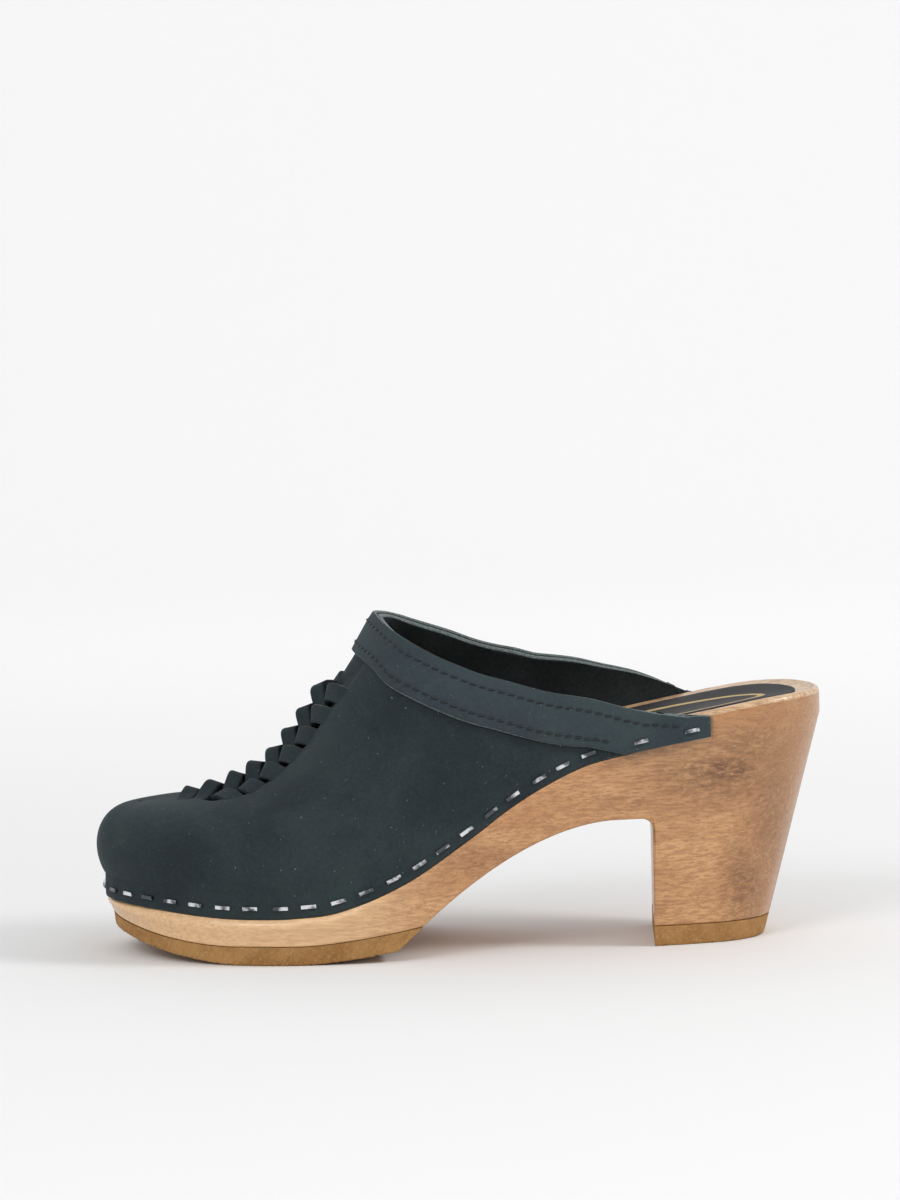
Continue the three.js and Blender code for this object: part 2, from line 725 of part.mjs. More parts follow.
// A row of stitches round the collar, as one cord lying on it at a distance down from its top edge.
function collarThread(seam) {
  const sheet = merged(collarSheets().flatMap(trianglesOfGrid));
  sheet.computeVertexNormals();
  const { position, normal } = sheet.attributes;
  const corners = Array.from({ length: position.count }, (_, i) => ({
    point: new THREE.Vector3().fromBufferAttribute(position, i),
    normal: new THREE.Vector3().fromBufferAttribute(normal, i),
  }));
  const lifted = (point) => {
    const away = (corner) => corner.point.distanceTo(point);
    const nearest = corners.reduce((best, corner) => (away(corner) < away(best) ? corner : best));
    return point.addScaledVector(nearest.normal, LEATHER + COLLAR_LEATHER + 2.5 * GAP + THREAD_RADIUS);
  };
  const row = (side) => {
    const shares = Array.from({ length: SEAM_POINTS + 1 }, (_, i) => (i / SEAM_POINTS) ** 2);
    const points = shares.map((share) => collarPoint(side, lerp(THROAT_X, TAIL_X, share), seam));
    return points.filter((point) => point.z > stapleHeight(point.x) + SEAM_CLEAR).map(lifted);
  };
  const points = [...row(LATERAL).reverse(), ...row(MEDIAL).slice(1)];
  const path = new THREE.CatmullRomCurve3(points, false, "centripetal");
  const section = new THREE.Shape();
  section.absarc(0, 0, THREAD_RADIUS, 0, 2 * Math.PI);
  return new THREE.ExtrudeGeometry(section, { extrudePath: path, steps: 60, curveSegments: 3 });
}

// ---------------------------------------------------------------- staples

// The place where the collar's lower edge comes down to the staples.
function collarMeetsStaples(side) {
  const lowX = (x) => x - curve(COLLAR_SLANT, x) * collarReach(side, x);
  const clear = (x) => topHeight(side, x) - collarReach(side, x) - stapleHeight(lowX(x)) - STAPLE_DEPTH;
  return lowX(solve((x) => -clear(x), 0, THROAT_X, TAIL_X));
}

// The edge of the ledge on one side: points, and the distance along it from the toe to each.
function ledgeLine(side) {
  const end = rowAt(side, TAIL_X);
  const count = 400;
  const points = Array.from({ length: count + 1 }, (_, i) => {
    const plan = outline(side, (end * i) / count);
    return vector(plan.x, plan.y, ledgeHeight(plan.x));
  });
  const runs = [0];
  points.slice(1).forEach((point, i) => runs.push(runs[i] + point.distanceTo(points[i])));
  return { points, runs };
}

// The staples' distances along the ledge: an even row up to the collar, and the rest through the collar.
function staplePlaces(side, { points, runs }) {
  const meet = collarMeetsStaples(side) - STAPLE_WIDTH / 2 - GAP;
  const rowEnd = runs[points.findIndex((point) => point.x >= meet)];
  const end = runs[runs.length - 1] - STAPLE_TAIL;
  const inRow = STAPLES_PER_SIDE - COLLAR_STAPLES;
  return Array.from({ length: STAPLES_PER_SIDE }, (_, i) => {
    if (i < inRow) return (rowEnd * (i + 0.5)) / (inRow - 0.5);
    return lerp(rowEnd, end, (i - inRow + 1) / COLLAR_STAPLES);
  });
}

// The frame of each staple on one side: across it, up it and out of the shoe, at its crown's outer face.
function stapleFrames(side) {
  const line = ledgeLine(side);
  return staplePlaces(side, line).map((place, number) => {
    const i = line.runs.findIndex((run) => run >= place);
    const x = line.points[i].x;
    const plan = outlineNormal(side, rowAt(side, x));
    const out = vector(plan.x, plan.y, 0);
    const along = line.points[i + 1].clone().sub(line.points[i - 1]);
    const across = along.addScaledVector(out, -along.dot(out)).normalize();
    const up = new THREE.Vector3().crossVectors(out, across).normalize();
    const onCollar = number >= STAPLES_PER_SIDE - COLLAR_STAPLES;
    const layers = LEATHER + GAP + (onCollar ? COLLAR_LEATHER + GAP : 0);
    const crown = lastPoint(side, x, 0).setZ(stapleHeight(x)).addScaledVector(out, layers + STAPLE_WIRE);
    return { matrix: new THREE.Matrix4().makeBasis(across, up, out).setPosition(crown), onCollar };
  });
}

function staple() {
  const half = STAPLE_WIDTH / 2;
  const inner = half - STAPLE_WIRE;
  const corners = [
    [-half, -STAPLE_LEG],
    [-half, 0],
    [half, 0],
    [half, -STAPLE_LEG],
    [inner, -STAPLE_LEG],
    [inner, -STAPLE_WIRE],
    [-inner, -STAPLE_WIRE],
    [-inner, -STAPLE_LEG],
  ];
  const shape = new THREE.Shape(corners.map(([across, out]) => new THREE.Vector2(across, out)));
  const geometry = new THREE.ExtrudeGeometry(shape, { depth: STAPLE_DEPTH, bevelEnabled: false });
  return geometry.translate(0, 0, -STAPLE_DEPTH / 2).rotateX(Math.PI / 2);
}

// The holes that a staple's two legs pass through.
function stapleHoles(matrix) {
  const reach = STAPLE_LEG + GAP;
  const hole = new THREE.BoxGeometry(STAPLE_WIRE + 2 * GAP, STAPLE_DEPTH + 2 * GAP, reach);
  const offset = (STAPLE_WIDTH - STAPLE_WIRE) / 2;
  return [-offset, offset].map((across) => {
    return solidOf(hole.clone().translate(across, 0, -reach / 2).applyMatrix4(matrix));
  });
}

// ---------------------------------------------------------------- assembly

const material = (color, roughness, metalness = 0) => new THREE.MeshStandardMaterial({ color, roughness, metalness });

const ALDER = material(0xc4966c, 0.55);
const CREPE = material(0xa57846, 0.85);
const NUBUCK = material(0x2d373e, 0.9);
const COLLAR_NUBUCK = material(0x3c4650, 0.88);
const SUEDE = material(0x202428, 0.95);
const THREAD = material(0x15181c, 0.7);
const STIFFENER = material(0xb9ab8c, 0.8);
const STEEL = material(0xc9cbcd, 0.3, 1);

function assembled() {
  const group = new THREE.Group();
  const add = (name, geometry, finish) => {
    const mesh = new THREE.Mesh(geometry, finish);
    mesh.name = name;
    group.add(mesh);
    return mesh;
  };

  const sides = { lateral: stapleFrames(LATERAL), medial: stapleFrames(MEDIAL) };
  const frames = Object.values(sides).flat();
  const slots = frames.flatMap((frame) => stapleHoles(frame.matrix));
  const collarSlots = frames.filter((frame) => frame.onCollar).flatMap((frame) => stapleHoles(frame.matrix));

  const blank = soleBlank();
  add("wooden_sole", geometryOf(cutFrom(blank.subtract(undersideCutter()), slots)), ALDER);
  add("forefoot_tread", geometryOf(forefootTread(blank)), CREPE);
  add("heel_tread", geometryOf(heelTread(blank)), CREPE);
  add("heel_sock", heelSock(), SUEDE);
  add("upper", geometryOf(upper(slots)), NUBUCK);
  add("toe_puff", geometryOf(toePuff()), STIFFENER);
  add("collar_band", geometryOf(collarBand(collarSlots)), COLLAR_NUBUCK);
  add("collar_thread_upper", collarThread(UPPER_SEAM), THREAD);
  add("collar_thread_lower", collarThread(LOWER_SEAM), THREAD);
  for (const [side, placed] of Object.entries(sides)) {
    placed.forEach(({ matrix }, i) => {
      const number = String(i + 1).padStart(2, "0");
      add(`staple_${side}_${number}`, staple(), STEEL).applyMatrix4(matrix);
    });
  }

  // The frame's origin is on the ground, under the middle of the whole shoe.
  group.updateMatrixWorld(true);
  const box = new THREE.Box3().setFromObject(group, true);
  const middle = box.getCenter(new THREE.Vector3());
  group.children.forEach((mesh) => mesh.position.sub(vector(middle.x, middle.y, box.min.z)));
  return group;
}

export default assembled();
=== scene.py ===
import math

import bmesh
import bpy
import numpy as np
from mathutils import Matrix, Vector


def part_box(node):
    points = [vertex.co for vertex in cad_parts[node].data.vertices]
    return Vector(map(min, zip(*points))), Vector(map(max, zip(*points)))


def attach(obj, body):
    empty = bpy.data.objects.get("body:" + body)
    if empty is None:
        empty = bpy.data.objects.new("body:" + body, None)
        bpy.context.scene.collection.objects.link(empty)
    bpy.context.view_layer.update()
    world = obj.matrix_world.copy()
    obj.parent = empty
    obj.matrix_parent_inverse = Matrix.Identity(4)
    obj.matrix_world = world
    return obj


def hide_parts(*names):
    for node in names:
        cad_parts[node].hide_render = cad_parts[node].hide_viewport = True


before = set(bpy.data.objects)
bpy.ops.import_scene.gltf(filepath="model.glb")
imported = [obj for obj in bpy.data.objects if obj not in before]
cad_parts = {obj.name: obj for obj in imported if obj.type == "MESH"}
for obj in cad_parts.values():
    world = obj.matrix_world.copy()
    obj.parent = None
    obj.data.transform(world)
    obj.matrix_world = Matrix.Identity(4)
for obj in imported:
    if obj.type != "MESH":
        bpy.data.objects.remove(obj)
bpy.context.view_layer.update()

# A high-heeled wooden clog for the left foot. The toe points along -X, the outer side of the foot faces -Y
# and the ground is z = 0. Shapes are worked out in millimetres on the shoemaker's pattern and put into
# the meshes in metres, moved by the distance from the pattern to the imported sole.

MM = 0.001
LATERAL = 1
MEDIAL = 2
SIDES = (LATERAL, MEDIAL)

# ---------------------------------------------------------------- driving dimensions

SOLE_LENGTH = 239.0
SOLE_WIDTH = 90.0
SEAT_HEIGHT = 83.0
FOREFOOT_HEIGHT = 24.0
TOE_RISE = 2.6
TOE_SPRING = 8.0
HEEL_ROCKER = 3.5
ARCH_HEIGHT = 43.5
ARCH_APEX_X = 50.0
ARCH_START_X = -15.0
ARCH_START = 10.7
BREAST_X = 62.5
BREAST_FILLET = 3.5
BREAST_SKEW = 0.05
SKEW_FROM = 0.39 * SOLE_WIDTH
HEEL_BACK_X = 101.5
SIDE_TAPER = 0.1
RIM_EDGE = 1.8
SEAT_DISH = 2.4
FULL_DISH_FROM = 22.0  # half-width of the footbed from which the hollow has its whole depth
TREAD = 6.0
TREAD_TOE = 4.0
HEEL_TREAD = 6.5
REBATE_HEIGHT = 8.5
LEATHER = 2.2
COLLAR_LEATHER = 1.6
COLLAR_WIDTH = 15.0
SOCK = 1.2
SOCK_MARGIN = 6.2
SOCK_INWARD = 1.3  # the sock lies this much nearer the inner side
SOCK_FRONT_X = 16.0
SOCK_SUNK = 0.05  # gap under the glued sock
UPPER_SEAM = 3.8
LOWER_SEAM = 12.0
SEAM_CLEAR = 2.0
STAPLE_RISE = 3.9
GAP = 0.3
GLUE_LINE = 0.26  # how far a tread's glued top reaches into the gap under the wood

TOE_X = -SOLE_LENGTH / 2 + 2
BACK_X = TOE_X + SOLE_LENGTH
FAN_X = -88.0
FAN_TOP_X = -106.0
THROAT_X = -24.0
TAIL_X = 82.0
RIDGE_Y = 0.035
CROWN_POWER = 0.9
CREST_ROUND = 0.06
TOE_BULGE = 3.5
SIDE_BULGE = 0.9
FLAT_FRONT_X = -74.0
FLAT_REAR_X = -55.0
ROCKER_END_X = -24.0

STRIPS = 8
STRIP_WIDTH = 5.5
STRIP_THICK = 1.8
STRIP_REACH = 17.0  # from the ridge to its slit's end, on its own side
STRIP_TIP = 11.0  # and past the ridge to its tip
# Degrees by which a strip's toe side stands up, and the distance from the ridge where it does.
STRIP_TILT = {LATERAL: (-20.0, 9.5), MEDIAL: (32.0, -1.5)}
LACING_START_X = -90.0
LACING_PITCH = 9.1
LACING_SLANT = 0.66
LACING_SINK = 1.8
# Middle of a strip above the last: distance from the ridge on its own side, negative past it, then the
# height. It leaves the leather flush, rides over the first strip it meets, dips, and comes up over the
# ridge or past it.
STRIP_LIFT = {
    LATERAL: [
        (-11, 1), (-8, 1.6), (-3.6, 3.5), (-1, 2.8), (1.5, 1.6), (4.2, 1.3), (9.5, 4.4), (13.5, 3.4),
        (17, 1),
    ],
    MEDIAL: [
        (-11, 1.2), (-8, 2.2), (-4.5, 4.8), (-1.5, 6.6), (1, 5.6), (3.8, 1.4), (6, 1.9), (10, 3.6),
        (16, 1.2),
    ],
}
# How wide a strip is along its length: distance from the ridge, then the share of its width.
STRIP_WIDENING = [(-STRIP_TIP, 0.8), (-6, 0.94), (0, 0.92), (8, 1.08), (STRIP_REACH, 1.15)]

# Plan outline: distance from the toe as a share of the length, then the outer and inner edges as shares
# of the width.
OUTLINE = np.array([
    (0, 0.06, 0.06), (0.008, -0.07, 0.18), (0.034, -0.206, 0.278), (0.075, -0.328, 0.367),
    (0.14, -0.433, 0.444), (0.224, -0.502, 0.483), (0.316, -0.522, 0.467), (0.408, -0.515, 0.417),
    (0.5, -0.48, 0.361), (0.609, -0.425, 0.317), (0.718, -0.38, 0.3), (0.826, -0.35, 0.311),
    (0.91, -0.311, 0.289), (0.964, -0.228, 0.217), (0.992, -0.117, 0.111), (1, 0, 0),
])
# The rim's climb from the ball to the seat: x, then the share of the rise.
RIM_CLIMB = [
    (-72, 0), (-58, 0.004), (-42, 0.036), (-20, 0.183), (2, 0.42), (15, 0.575), (28, 0.7), (41, 0.795),
    (54, 0.845), (80, 0.925), (100, 0.98), (114, 1),
]
# The last's ridge over the instep: x, then the height above the rim.
RIDGE = [
    (-107, 21), (-93.5, 23.7), (-81.5, 25.6), (-70.5, 28.2), (-63.5, 32.2), (-57, 37.4), (-51, 43.6),
    (-46, 50.1), (-40.5, 57.2), (-32.5, 66), (-24, 76.5), (-16, 81), (-5, 75), (10, 59), (28, 42),
    (54, 30), (84, 20),
]
# The opening's top edge on each side: x, then the height above the rim.
TOP_LINE = {
    LATERAL: [
        (-24, 76.5), (-22.5, 74.2), (-19.5, 70.2), (-14, 63), (-3, 50.2), (12, 34.4), (29, 20), (46, 10.8),
        (63, 3.8), (82, -1.4),
    ],
    MEDIAL: [
        (-24, 76.5), (-22.5, 75.4), (-19.5, 72.8), (-14, 67), (-3, 55.8), (12, 39.9), (21, 32.2),
        (29, 25.9), (46, 16.8), (63, 9.4), (82, -1.4),
    ],
}
# Depth of the rebate round the sole's edge: x, then millimetres.
REBATE_DEPTH = [(-117.5, 0.5), (-110, 1.2), (-98, 2.3), (40, 2.3), (70, 1.1), (82, 0.5)]
# The power of the last's side, from the square toe box to the pointed instep: x, then the power.
SIDE_POWER = [(-100, 0.66), (-75, 0.85), (-45, 1.25), (-24, 1.6), (2, 1.4), (60, 0.9)]
# How far the collar's lower edge lies towards the toe from its top edge: x, then the share of its width.
COLLAR_SLANT = [(-24, 0.5), (-14, 0.45), (6, 0.28), (30, 0.17), (82, 0)]

# ---------------------------------------------------------------- curves


def smooth(t):
    """An S-shaped step from 0 to 1: t squared times (3 - 2 t)."""
    return t * t * (3 - 2 * t)


def lerp(a, b, t):
    return a + (b - a) * t


def step(value, low, high):
    """0 up to low, 1 from high on, and an S-shaped rise between."""
    return smooth(np.clip((value - low) / (high - low), 0, 1))


def curve(rows, places):
    """Smooth curve through rows of (x, value): between rows a cubic whose end slopes are those of the chord
    from the row before to the row after, and flat beyond the ends."""
    xs, ys = np.array(rows, float).T
    x = np.clip(np.asarray(places, float), xs[0], xs[-1])
    number = np.arange(len(xs))
    after = np.minimum(number + 1, number[-1])
    before = np.maximum(number - 1, 0)
    slopes = (ys[after] - ys[before]) / (xs[after] - xs[before])
    i = np.clip(np.searchsorted(xs, x, side="right") - 1, 0, len(xs) - 2)
    width = xs[i + 1] - xs[i]
    t = (x - xs[i]) / width
    leaning = (t - 2 * t**2 + t**3) * slopes[i] + (t**3 - t**2) * slopes[i + 1]
    return lerp(ys[i], ys[i + 1], smooth(t)) + width * leaning


def spline(values, i, t):
    """Catmull-Rom spline: between values i + 1 and i + 2, a cubic with the slopes of the chords round
    them."""
    a, b, c, d = (values[i + k] for k in range(4))
    square = (2 * a - 5 * b + 4 * c - d) * t**2
    cube = (3 * b - a - 3 * c + d) * t**3
    return 0.5 * (2 * b + (c - a) * t + square + cube)


def points(x, y, z):
    return np.stack(np.broadcast_arrays(x, y, z), axis=-1)


def unit(vectors):
    return vectors / np.maximum(np.linalg.norm(vectors, axis=-1, keepdims=True), 1e-12)


def distance_along(line):
    """Distance of each point of a line from its first."""
    return np.concatenate([[0], np.cumsum(np.linalg.norm(np.diff(line, axis=0), axis=-1))])


# ---------------------------------------------------------------- plan outline


def outline_table(side):
    """x, y and the outward normal along one edge of the sole: a Catmull-Rom spline through the outline's
    rows, mirrored past both ends so that they are round, and the normal square to its slope."""
    last_row = len(OUTLINE) - 1
    other = MEDIAL + LATERAL - side
    share = np.concatenate([OUTLINE[1:2, 0], OUTLINE[:, 0], OUTLINE[-2:-1, 0]])
    across = np.concatenate([OUTLINE[1:2, other], OUTLINE[:, side], OUTLINE[-2:-1, other]])
    q = np.linspace(0, last_row, 9001)
    i = np.minimum(q.astype(int), last_row - 1)
    x = TOE_X + spline(share, i, q - i) * SOLE_LENGTH
    y = spline(across, i, q - i) * SOLE_WIDTH
    turn = 1 if side == LATERAL else -1
    normal = unit(np.stack([np.gradient(y) * turn, -np.gradient(x) * turn], axis=-1))
    normal[0] = (-1, 0)
    normal[-1] = (1, 0)
    return np.maximum.accumulate(x), y, normal[:, 0], normal[:, 1]


EDGE = {side: outline_table(side) for side in SIDES}
SHIFT = points(
    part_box("wooden_sole")[0].x / MM - TOE_X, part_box("wooden_sole")[0].y / MM - EDGE[LATERAL][1].min(), 0.0
)


def edge_y(side, x):
    return np.interp(x, EDGE[side][0], EDGE[side][1])


def edge_normal(side, x):
    return np.interp(x, EDGE[side][0], EDGE[side][2]), np.interp(x, EDGE[side][0], EDGE[side][3])


def inset_edge(side, x, inset):
    """The outline moved inwards, square to itself."""
    nx, ny = edge_normal(side, x)
    return x - nx * inset, edge_y(side, x) - ny * inset


def rebate_depth(x):
    return np.where(x > TAIL_X + 2 * GAP, 0, curve(REBATE_DEPTH, x))


# ---------------------------------------------------------------- heights


def rim_height(x):
    toe = np.clip((RIM_CLIMB[0][0] - x) / (RIM_CLIMB[0][0] - TOE_X), 0, 1)
    return FOREFOOT_HEIGHT + (SEAT_HEIGHT - FOREFOOT_HEIGHT) * curve(RIM_CLIMB, x) + TOE_RISE * smooth(toe)


def ledge_height(x):
    return rim_height(x) - REBATE_HEIGHT


def toe_share(x):
    return np.clip((FLAT_FRONT_X - x) / (FLAT_FRONT_X - TOE_X), 0, 1.3)


def tread_bottom(x):
    rear = np.clip((x - FLAT_REAR_X) / (ROCKER_END_X - FLAT_REAR_X), 0, 2)
    return TOE_SPRING * toe_share(x) ** 1.7 + HEEL_ROCKER * rear**1.5


def tread_top(x):
    return tread_bottom(x) + lerp(TREAD, TREAD_TOE, toe_share(x))


def arch_height(x):
    back = np.maximum((ARCH_APEX_X - x) / (ARCH_APEX_X - ARCH_START_X), 0)
    return ARCH_HEIGHT - (ARCH_HEIGHT - ARCH_START) * back**1.8


def wall(side, x, z):
    """The sole's side wall: the outline moved inwards by a tenth of the depth below the ledge, and behind
    the heel's front face moved forward instead, the more the nearer the back."""
    nx, ny = edge_normal(side, x)
    below = np.maximum(ledge_height(x) - z, 0)
    lean = (BACK_X - HEEL_BACK_X) * below / ledge_height(BACK_X) / (BACK_X - BREAST_X)
    heel = x >= BREAST_X
    px = np.where(heel, x - lean * (x - BREAST_X), x - SIDE_TAPER * below * nx)
    return points(px, edge_y(side, x) - SIDE_TAPER * below * ny, z)


def bed_edge(side, x, margin):
    return inset_edge(side, x, rebate_depth(x) + RIM_EDGE + margin)


def dish(half_width):
    """Depth of the footbed's hollow, which fades where the footbed narrows."""
    return SEAT_DISH * np.clip(half_width / FULL_DISH_FROM, 0, 1)


def bed(side, x, share, margin, lift):
    """The footbed: from the middle to the edge in straight lines in plan, hollowed by a parabola that is
    deepest in the middle."""
    ex, ey = bed_edge(side, x, margin)
    fx, fy = bed_edge(LATERAL + MEDIAL - side, x, margin)
    mx, my = (ex + fx) / 2, (ey + fy) / 2
    height = rim_height(x) - dish(np.hypot(ex - mx, ey - my)) * (1 - share**2) + lift
    return points(lerp(mx, ex, share), lerp(my, ey, share), height)


# ---------------------------------------------------------------- the last


def ridge_y(x):
    return RIDGE_Y * SOLE_WIDTH * (1 - step(x, THROAT_X, TAIL_X))


def ridge_height(x):
    return rim_height(x) + curve(RIDGE, x)


def last(side, x, climb):
    """The foot shape inside the leather. Each section rises from the sole's rim to the ridge: its height
    follows a power of the sine of the climb, its way inwards a power of the cosine, rounded at the crest,
    and it bulges outwards between. The first sections fan out from the front of the ridge. A negative climb
    runs straight down the rebate."""
    x, climb = np.broadcast_arrays(np.asarray(x, float), np.asarray(climb, float))
    foot_x, foot_y = inset_edge(side, x, rebate_depth(x) - GAP)
    foot_z = rim_height(x)
    share = np.clip((x - TOE_X) / (FAN_X - TOE_X), 0, 1)
    crown_x = np.where(x < FAN_X, lerp(FAN_TOP_X, FAN_X, share**0.8), x)
    angle = np.pi / 2 * np.maximum(climb, 0)
    spread = np.maximum(np.cos(angle), 0)
    spread = np.sqrt((spread**2 + 2 * CREST_ROUND * spread) / (1 + 2 * CREST_ROUND))
    inward = 1 - spread ** curve(SIDE_POWER, x)
    toe = 1 - np.clip((x - TOE_X) / (FAN_X + 30 - TOE_X), 0, 1)
    bulge = lerp(SIDE_BULGE, TOE_BULGE, toe) * np.sin(np.pi * np.maximum(climb, 0) ** 0.7)
    away = unit(points(foot_x - crown_x, foot_y - ridge_y(crown_x), 0 * x))
    upward = np.maximum(np.sin(angle), 0) ** CROWN_POWER
    z = lerp(foot_z, ridge_height(crown_x), upward) + np.minimum(climb, 0) * (REBATE_HEIGHT - GAP)
    plan = points(lerp(foot_x, crown_x, inward), lerp(foot_y, ridge_y(crown_x), inward), z)
    return plan + away * bulge[..., None]


def climb_at(x, z):
    """The climb at which the section at x reaches the height z."""
    above = z - rim_height(x)
    share = np.clip(above / np.maximum(ridge_height(x) - rim_height(x), 1e-6), 0, 1)
    up = np.arcsin(share ** (1 / CROWN_POWER)) / (np.pi / 2)
    return np.where(above <= 0, np.maximum(above / (REBATE_HEIGHT - GAP), -1), up)


def top_height(side, x):
    return rim_height(x) + curve(TOP_LINE[side], x)


def normals(surface, u, v, turn):
    """Normals of a surface of two parameters, from small steps along each."""
    du, dv = 0.05, 0.004
    along_u = surface(u + du, v) - surface(u - du, v)
    along_v = surface(u, v + dv) - surface(u, v - dv)
    return turn * unit(np.cross(along_u, along_v))


# ---------------------------------------------------------------- meshes


def outward(side, grid):
    """A grid of columns along the shoe and rows upwards, wound to face out on either side."""
    return grid if side == LATERAL else grid[::-1]


def cells(columns, rows, start):
    """The four corners of each cell of a grid whose points are numbered column by column."""
    number = start + np.arange(columns * rows).reshape(columns, rows)
    return np.stack([number[:-1, :-1], number[1:, :-1], number[1:, 1:], number[:-1, 1:]], -1).reshape(-1, 4)


def mesh_object(name, grids, closed=True, caps=False, finishes=None):
    """One mesh from grids of points: each cell is a face, points that meet are joined, caps fill open ends,
    and a closed body's faces are turned outwards. finishes gives each cell's material number."""
    faces, start = [], 0
    for grid in grids:
        faces.append(cells(grid.shape[0], grid.shape[1], start))
        start += grid.shape[0] * grid.shape[1]
    where = (np.concatenate([grid.reshape(-1, 3) for grid in grids]) + SHIFT) * MM
    mesh = bpy.data.meshes.new(name)
    mesh.from_pydata(where.tolist(), [], np.concatenate(faces).tolist())
    if finishes is not None:
        mesh.polygons.foreach_set("material_index", finishes.astype(np.int32))
    shape = bmesh.new()
    shape.from_mesh(mesh)
    bmesh.ops.remove_doubles(shape, verts=shape.verts, dist=3e-6)
    bmesh.ops.dissolve_degenerate(shape, edges=shape.edges, dist=1e-7)
    if caps:
        bmesh.ops.holes_fill(shape, edges=[e for e in shape.edges if e.is_boundary], sides=0)
    if closed:
        bmesh.ops.recalc_face_normals(shape, faces=shape.faces)
    shape.to_mesh(mesh)
    shape.free()
    mesh.polygons.foreach_set("use_smooth", np.ones(len(mesh.polygons), bool))
    piece = bpy.data.objects.new(name, mesh)
    bpy.context.collection.objects.link(piece)
    return piece


def pushed(piece, distance):
    """Moves each point of a sheet along its own normal."""
    mesh = piece.data
    count = len(mesh.vertices)
    where = np.empty(count * 3)
    facing = np.empty(count * 3)
    mesh.vertices.foreach_get("co", where)
    mesh.vertex_normals.foreach_get("vector", facing)
    mesh.vertices.foreach_set("co", where + facing * distance * MM)
    mesh.update()


def wall_of(piece, thickness, rim):
    """Gives a sheet its thickness on the outside, with the cut edges in their own material."""
    solid = piece.modifiers.new("thickness", "SOLIDIFY")
    solid.thickness = thickness * MM
    solid.offset = 1
    solid.use_even_offset = False
    solid.material_offset = 1
    solid.material_offset_rim = 2
    edge = piece.modifiers.new("edge", "BEVEL")
    edge.width = rim * MM
    edge.segments = 2
    edge.limit_method = "ANGLE"
    edge.angle_limit = math.radians(55)
    edge.use_clamp_overlap = False
    edge.miter_outer = "MITER_ARC"


def sharp_by_angle(piece, degrees):
    piece.data.set_sharp_from_angle(angle=math.radians(degrees))


def finished(piece, materials, slot, *nodes):
    for material in materials:
        piece.data.materials.append(material)
    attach(piece, "root")
    if nodes:
        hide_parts(*nodes)
    return piece


# ---------------------------------------------------------------- material nodes


class Nodes:
    """Short names for the shader nodes that the finishes are made from."""

    def __init__(self, tree):
        self.tree = tree

    def add(self, kind, inputs=(), **settings):
        node = self.tree.nodes.new(kind)
        for key, value in settings.items():
            setattr(node, key, value)
        for key, value in dict(inputs).items():
            if isinstance(value, bpy.types.NodeSocket):
                self.tree.links.new(value, node.inputs[key])
            else:
                node.inputs[key].default_value = value
        return node

    def place(self, scale=(1, 1, 1), turn=(0, 0, 0), shift=(0, 0, 0)):
        """Object coordinates in metres, scaled along each axis."""
        coordinates = self.add("ShaderNodeTexCoord").outputs["Object"]
        settings = {"Vector": coordinates, "Scale": scale, "Rotation": turn, "Location": shift}
        return self.add("ShaderNodeMapping", settings).outputs["Vector"]

    def noise(self, where, scale, detail=4.0, rough=0.5, bend=0.0):
        settings = {"Vector": where, "Scale": scale, "Detail": detail, "Roughness": rough}
        return self.add("ShaderNodeTexNoise", {**settings, "Distortion": bend}).outputs["Fac"]

    def spread(self, value, low, high, to_low=0.0, to_high=1.0):
        settings = {0: value, 1: low, 2: high, 3: to_low, 4: to_high}
        return self.add("ShaderNodeMapRange", settings, interpolation_type="SMOOTHSTEP").outputs[0]

    def maths(self, kind, a, b=0.0):
        return self.add("ShaderNodeMath", {0: a, 1: b}, operation=kind).outputs[0]

    def total(self, *parts):
        """The sum of values, each times its weight."""
        so_far = 0.0
        for value, weight in parts:
            so_far = self.maths("ADD", so_far, self.maths("MULTIPLY", value, weight))
        return so_far

    def mix(self, share, a, b):
        node = self.add("ShaderNodeMix", data_type="RGBA")
        for index, value in ((0, share), (6, a), (7, b)):
            if isinstance(value, bpy.types.NodeSocket):
                self.tree.links.new(value, node.inputs[index])
            else:
                node.inputs[index].default_value = value
        return node.outputs[2]

    def laid(self, colour, *layers):
        """Lays colours over one another, each where its value goes from low to high, up to its share."""
        for value, low, high, most, over in layers:
            colour = self.mix(self.spread(value, low, high, 0.0, most), colour, rgb(*over))
        return colour

    def group(self, tree, **values):
        """Places a shared effect with its own values."""
        return self.add("ShaderNodeGroup", values, node_tree=tree).outputs

    def bump(self, height, strength, distance):
        settings = {"Height": height, "Strength": strength, "Distance": distance * MM}
        return self.add("ShaderNodeBump", settings).outputs["Normal"]


def rgb(red, green, blue):
    """A colour given as it looks on a screen, 0 to 255, as the light it reflects."""
    return tuple((max(v, 0) / 255) ** 2.2 for v in (red, green, blue)) + (1.0,)


def new_material(name):
    material = bpy.data.materials.new(name)
    material.use_nodes = True
    shader = material.node_tree.nodes["Principled BSDF"]
    return material, Nodes(material.node_tree), shader


def feed(nodes, shader, **values):
    """Links or sets the shader's inputs; an underscore stands for a space."""
    for key, value in values.items():
        socket = shader.inputs[key.replace("_", " ")]
        if isinstance(value, bpy.types.NodeSocket):
            nodes.tree.links.new(value, socket)
        else:
            socket.default_value = value


def new_group(name, inputs, outputs):
    """An effect that several finishes share: the kind of value of each named input and output."""
    tree = bpy.data.node_groups.new(name, "ShaderNodeTree")
    for way, sockets in (("INPUT", inputs), ("OUTPUT", outputs)):
        for label, kind in sockets.items():
            tree.interface.new_socket(label, in_out=way, socket_type="NodeSocket" + kind)
    nodes = Nodes(tree)
    return tree, nodes, nodes.add("NodeGroupInput").outputs


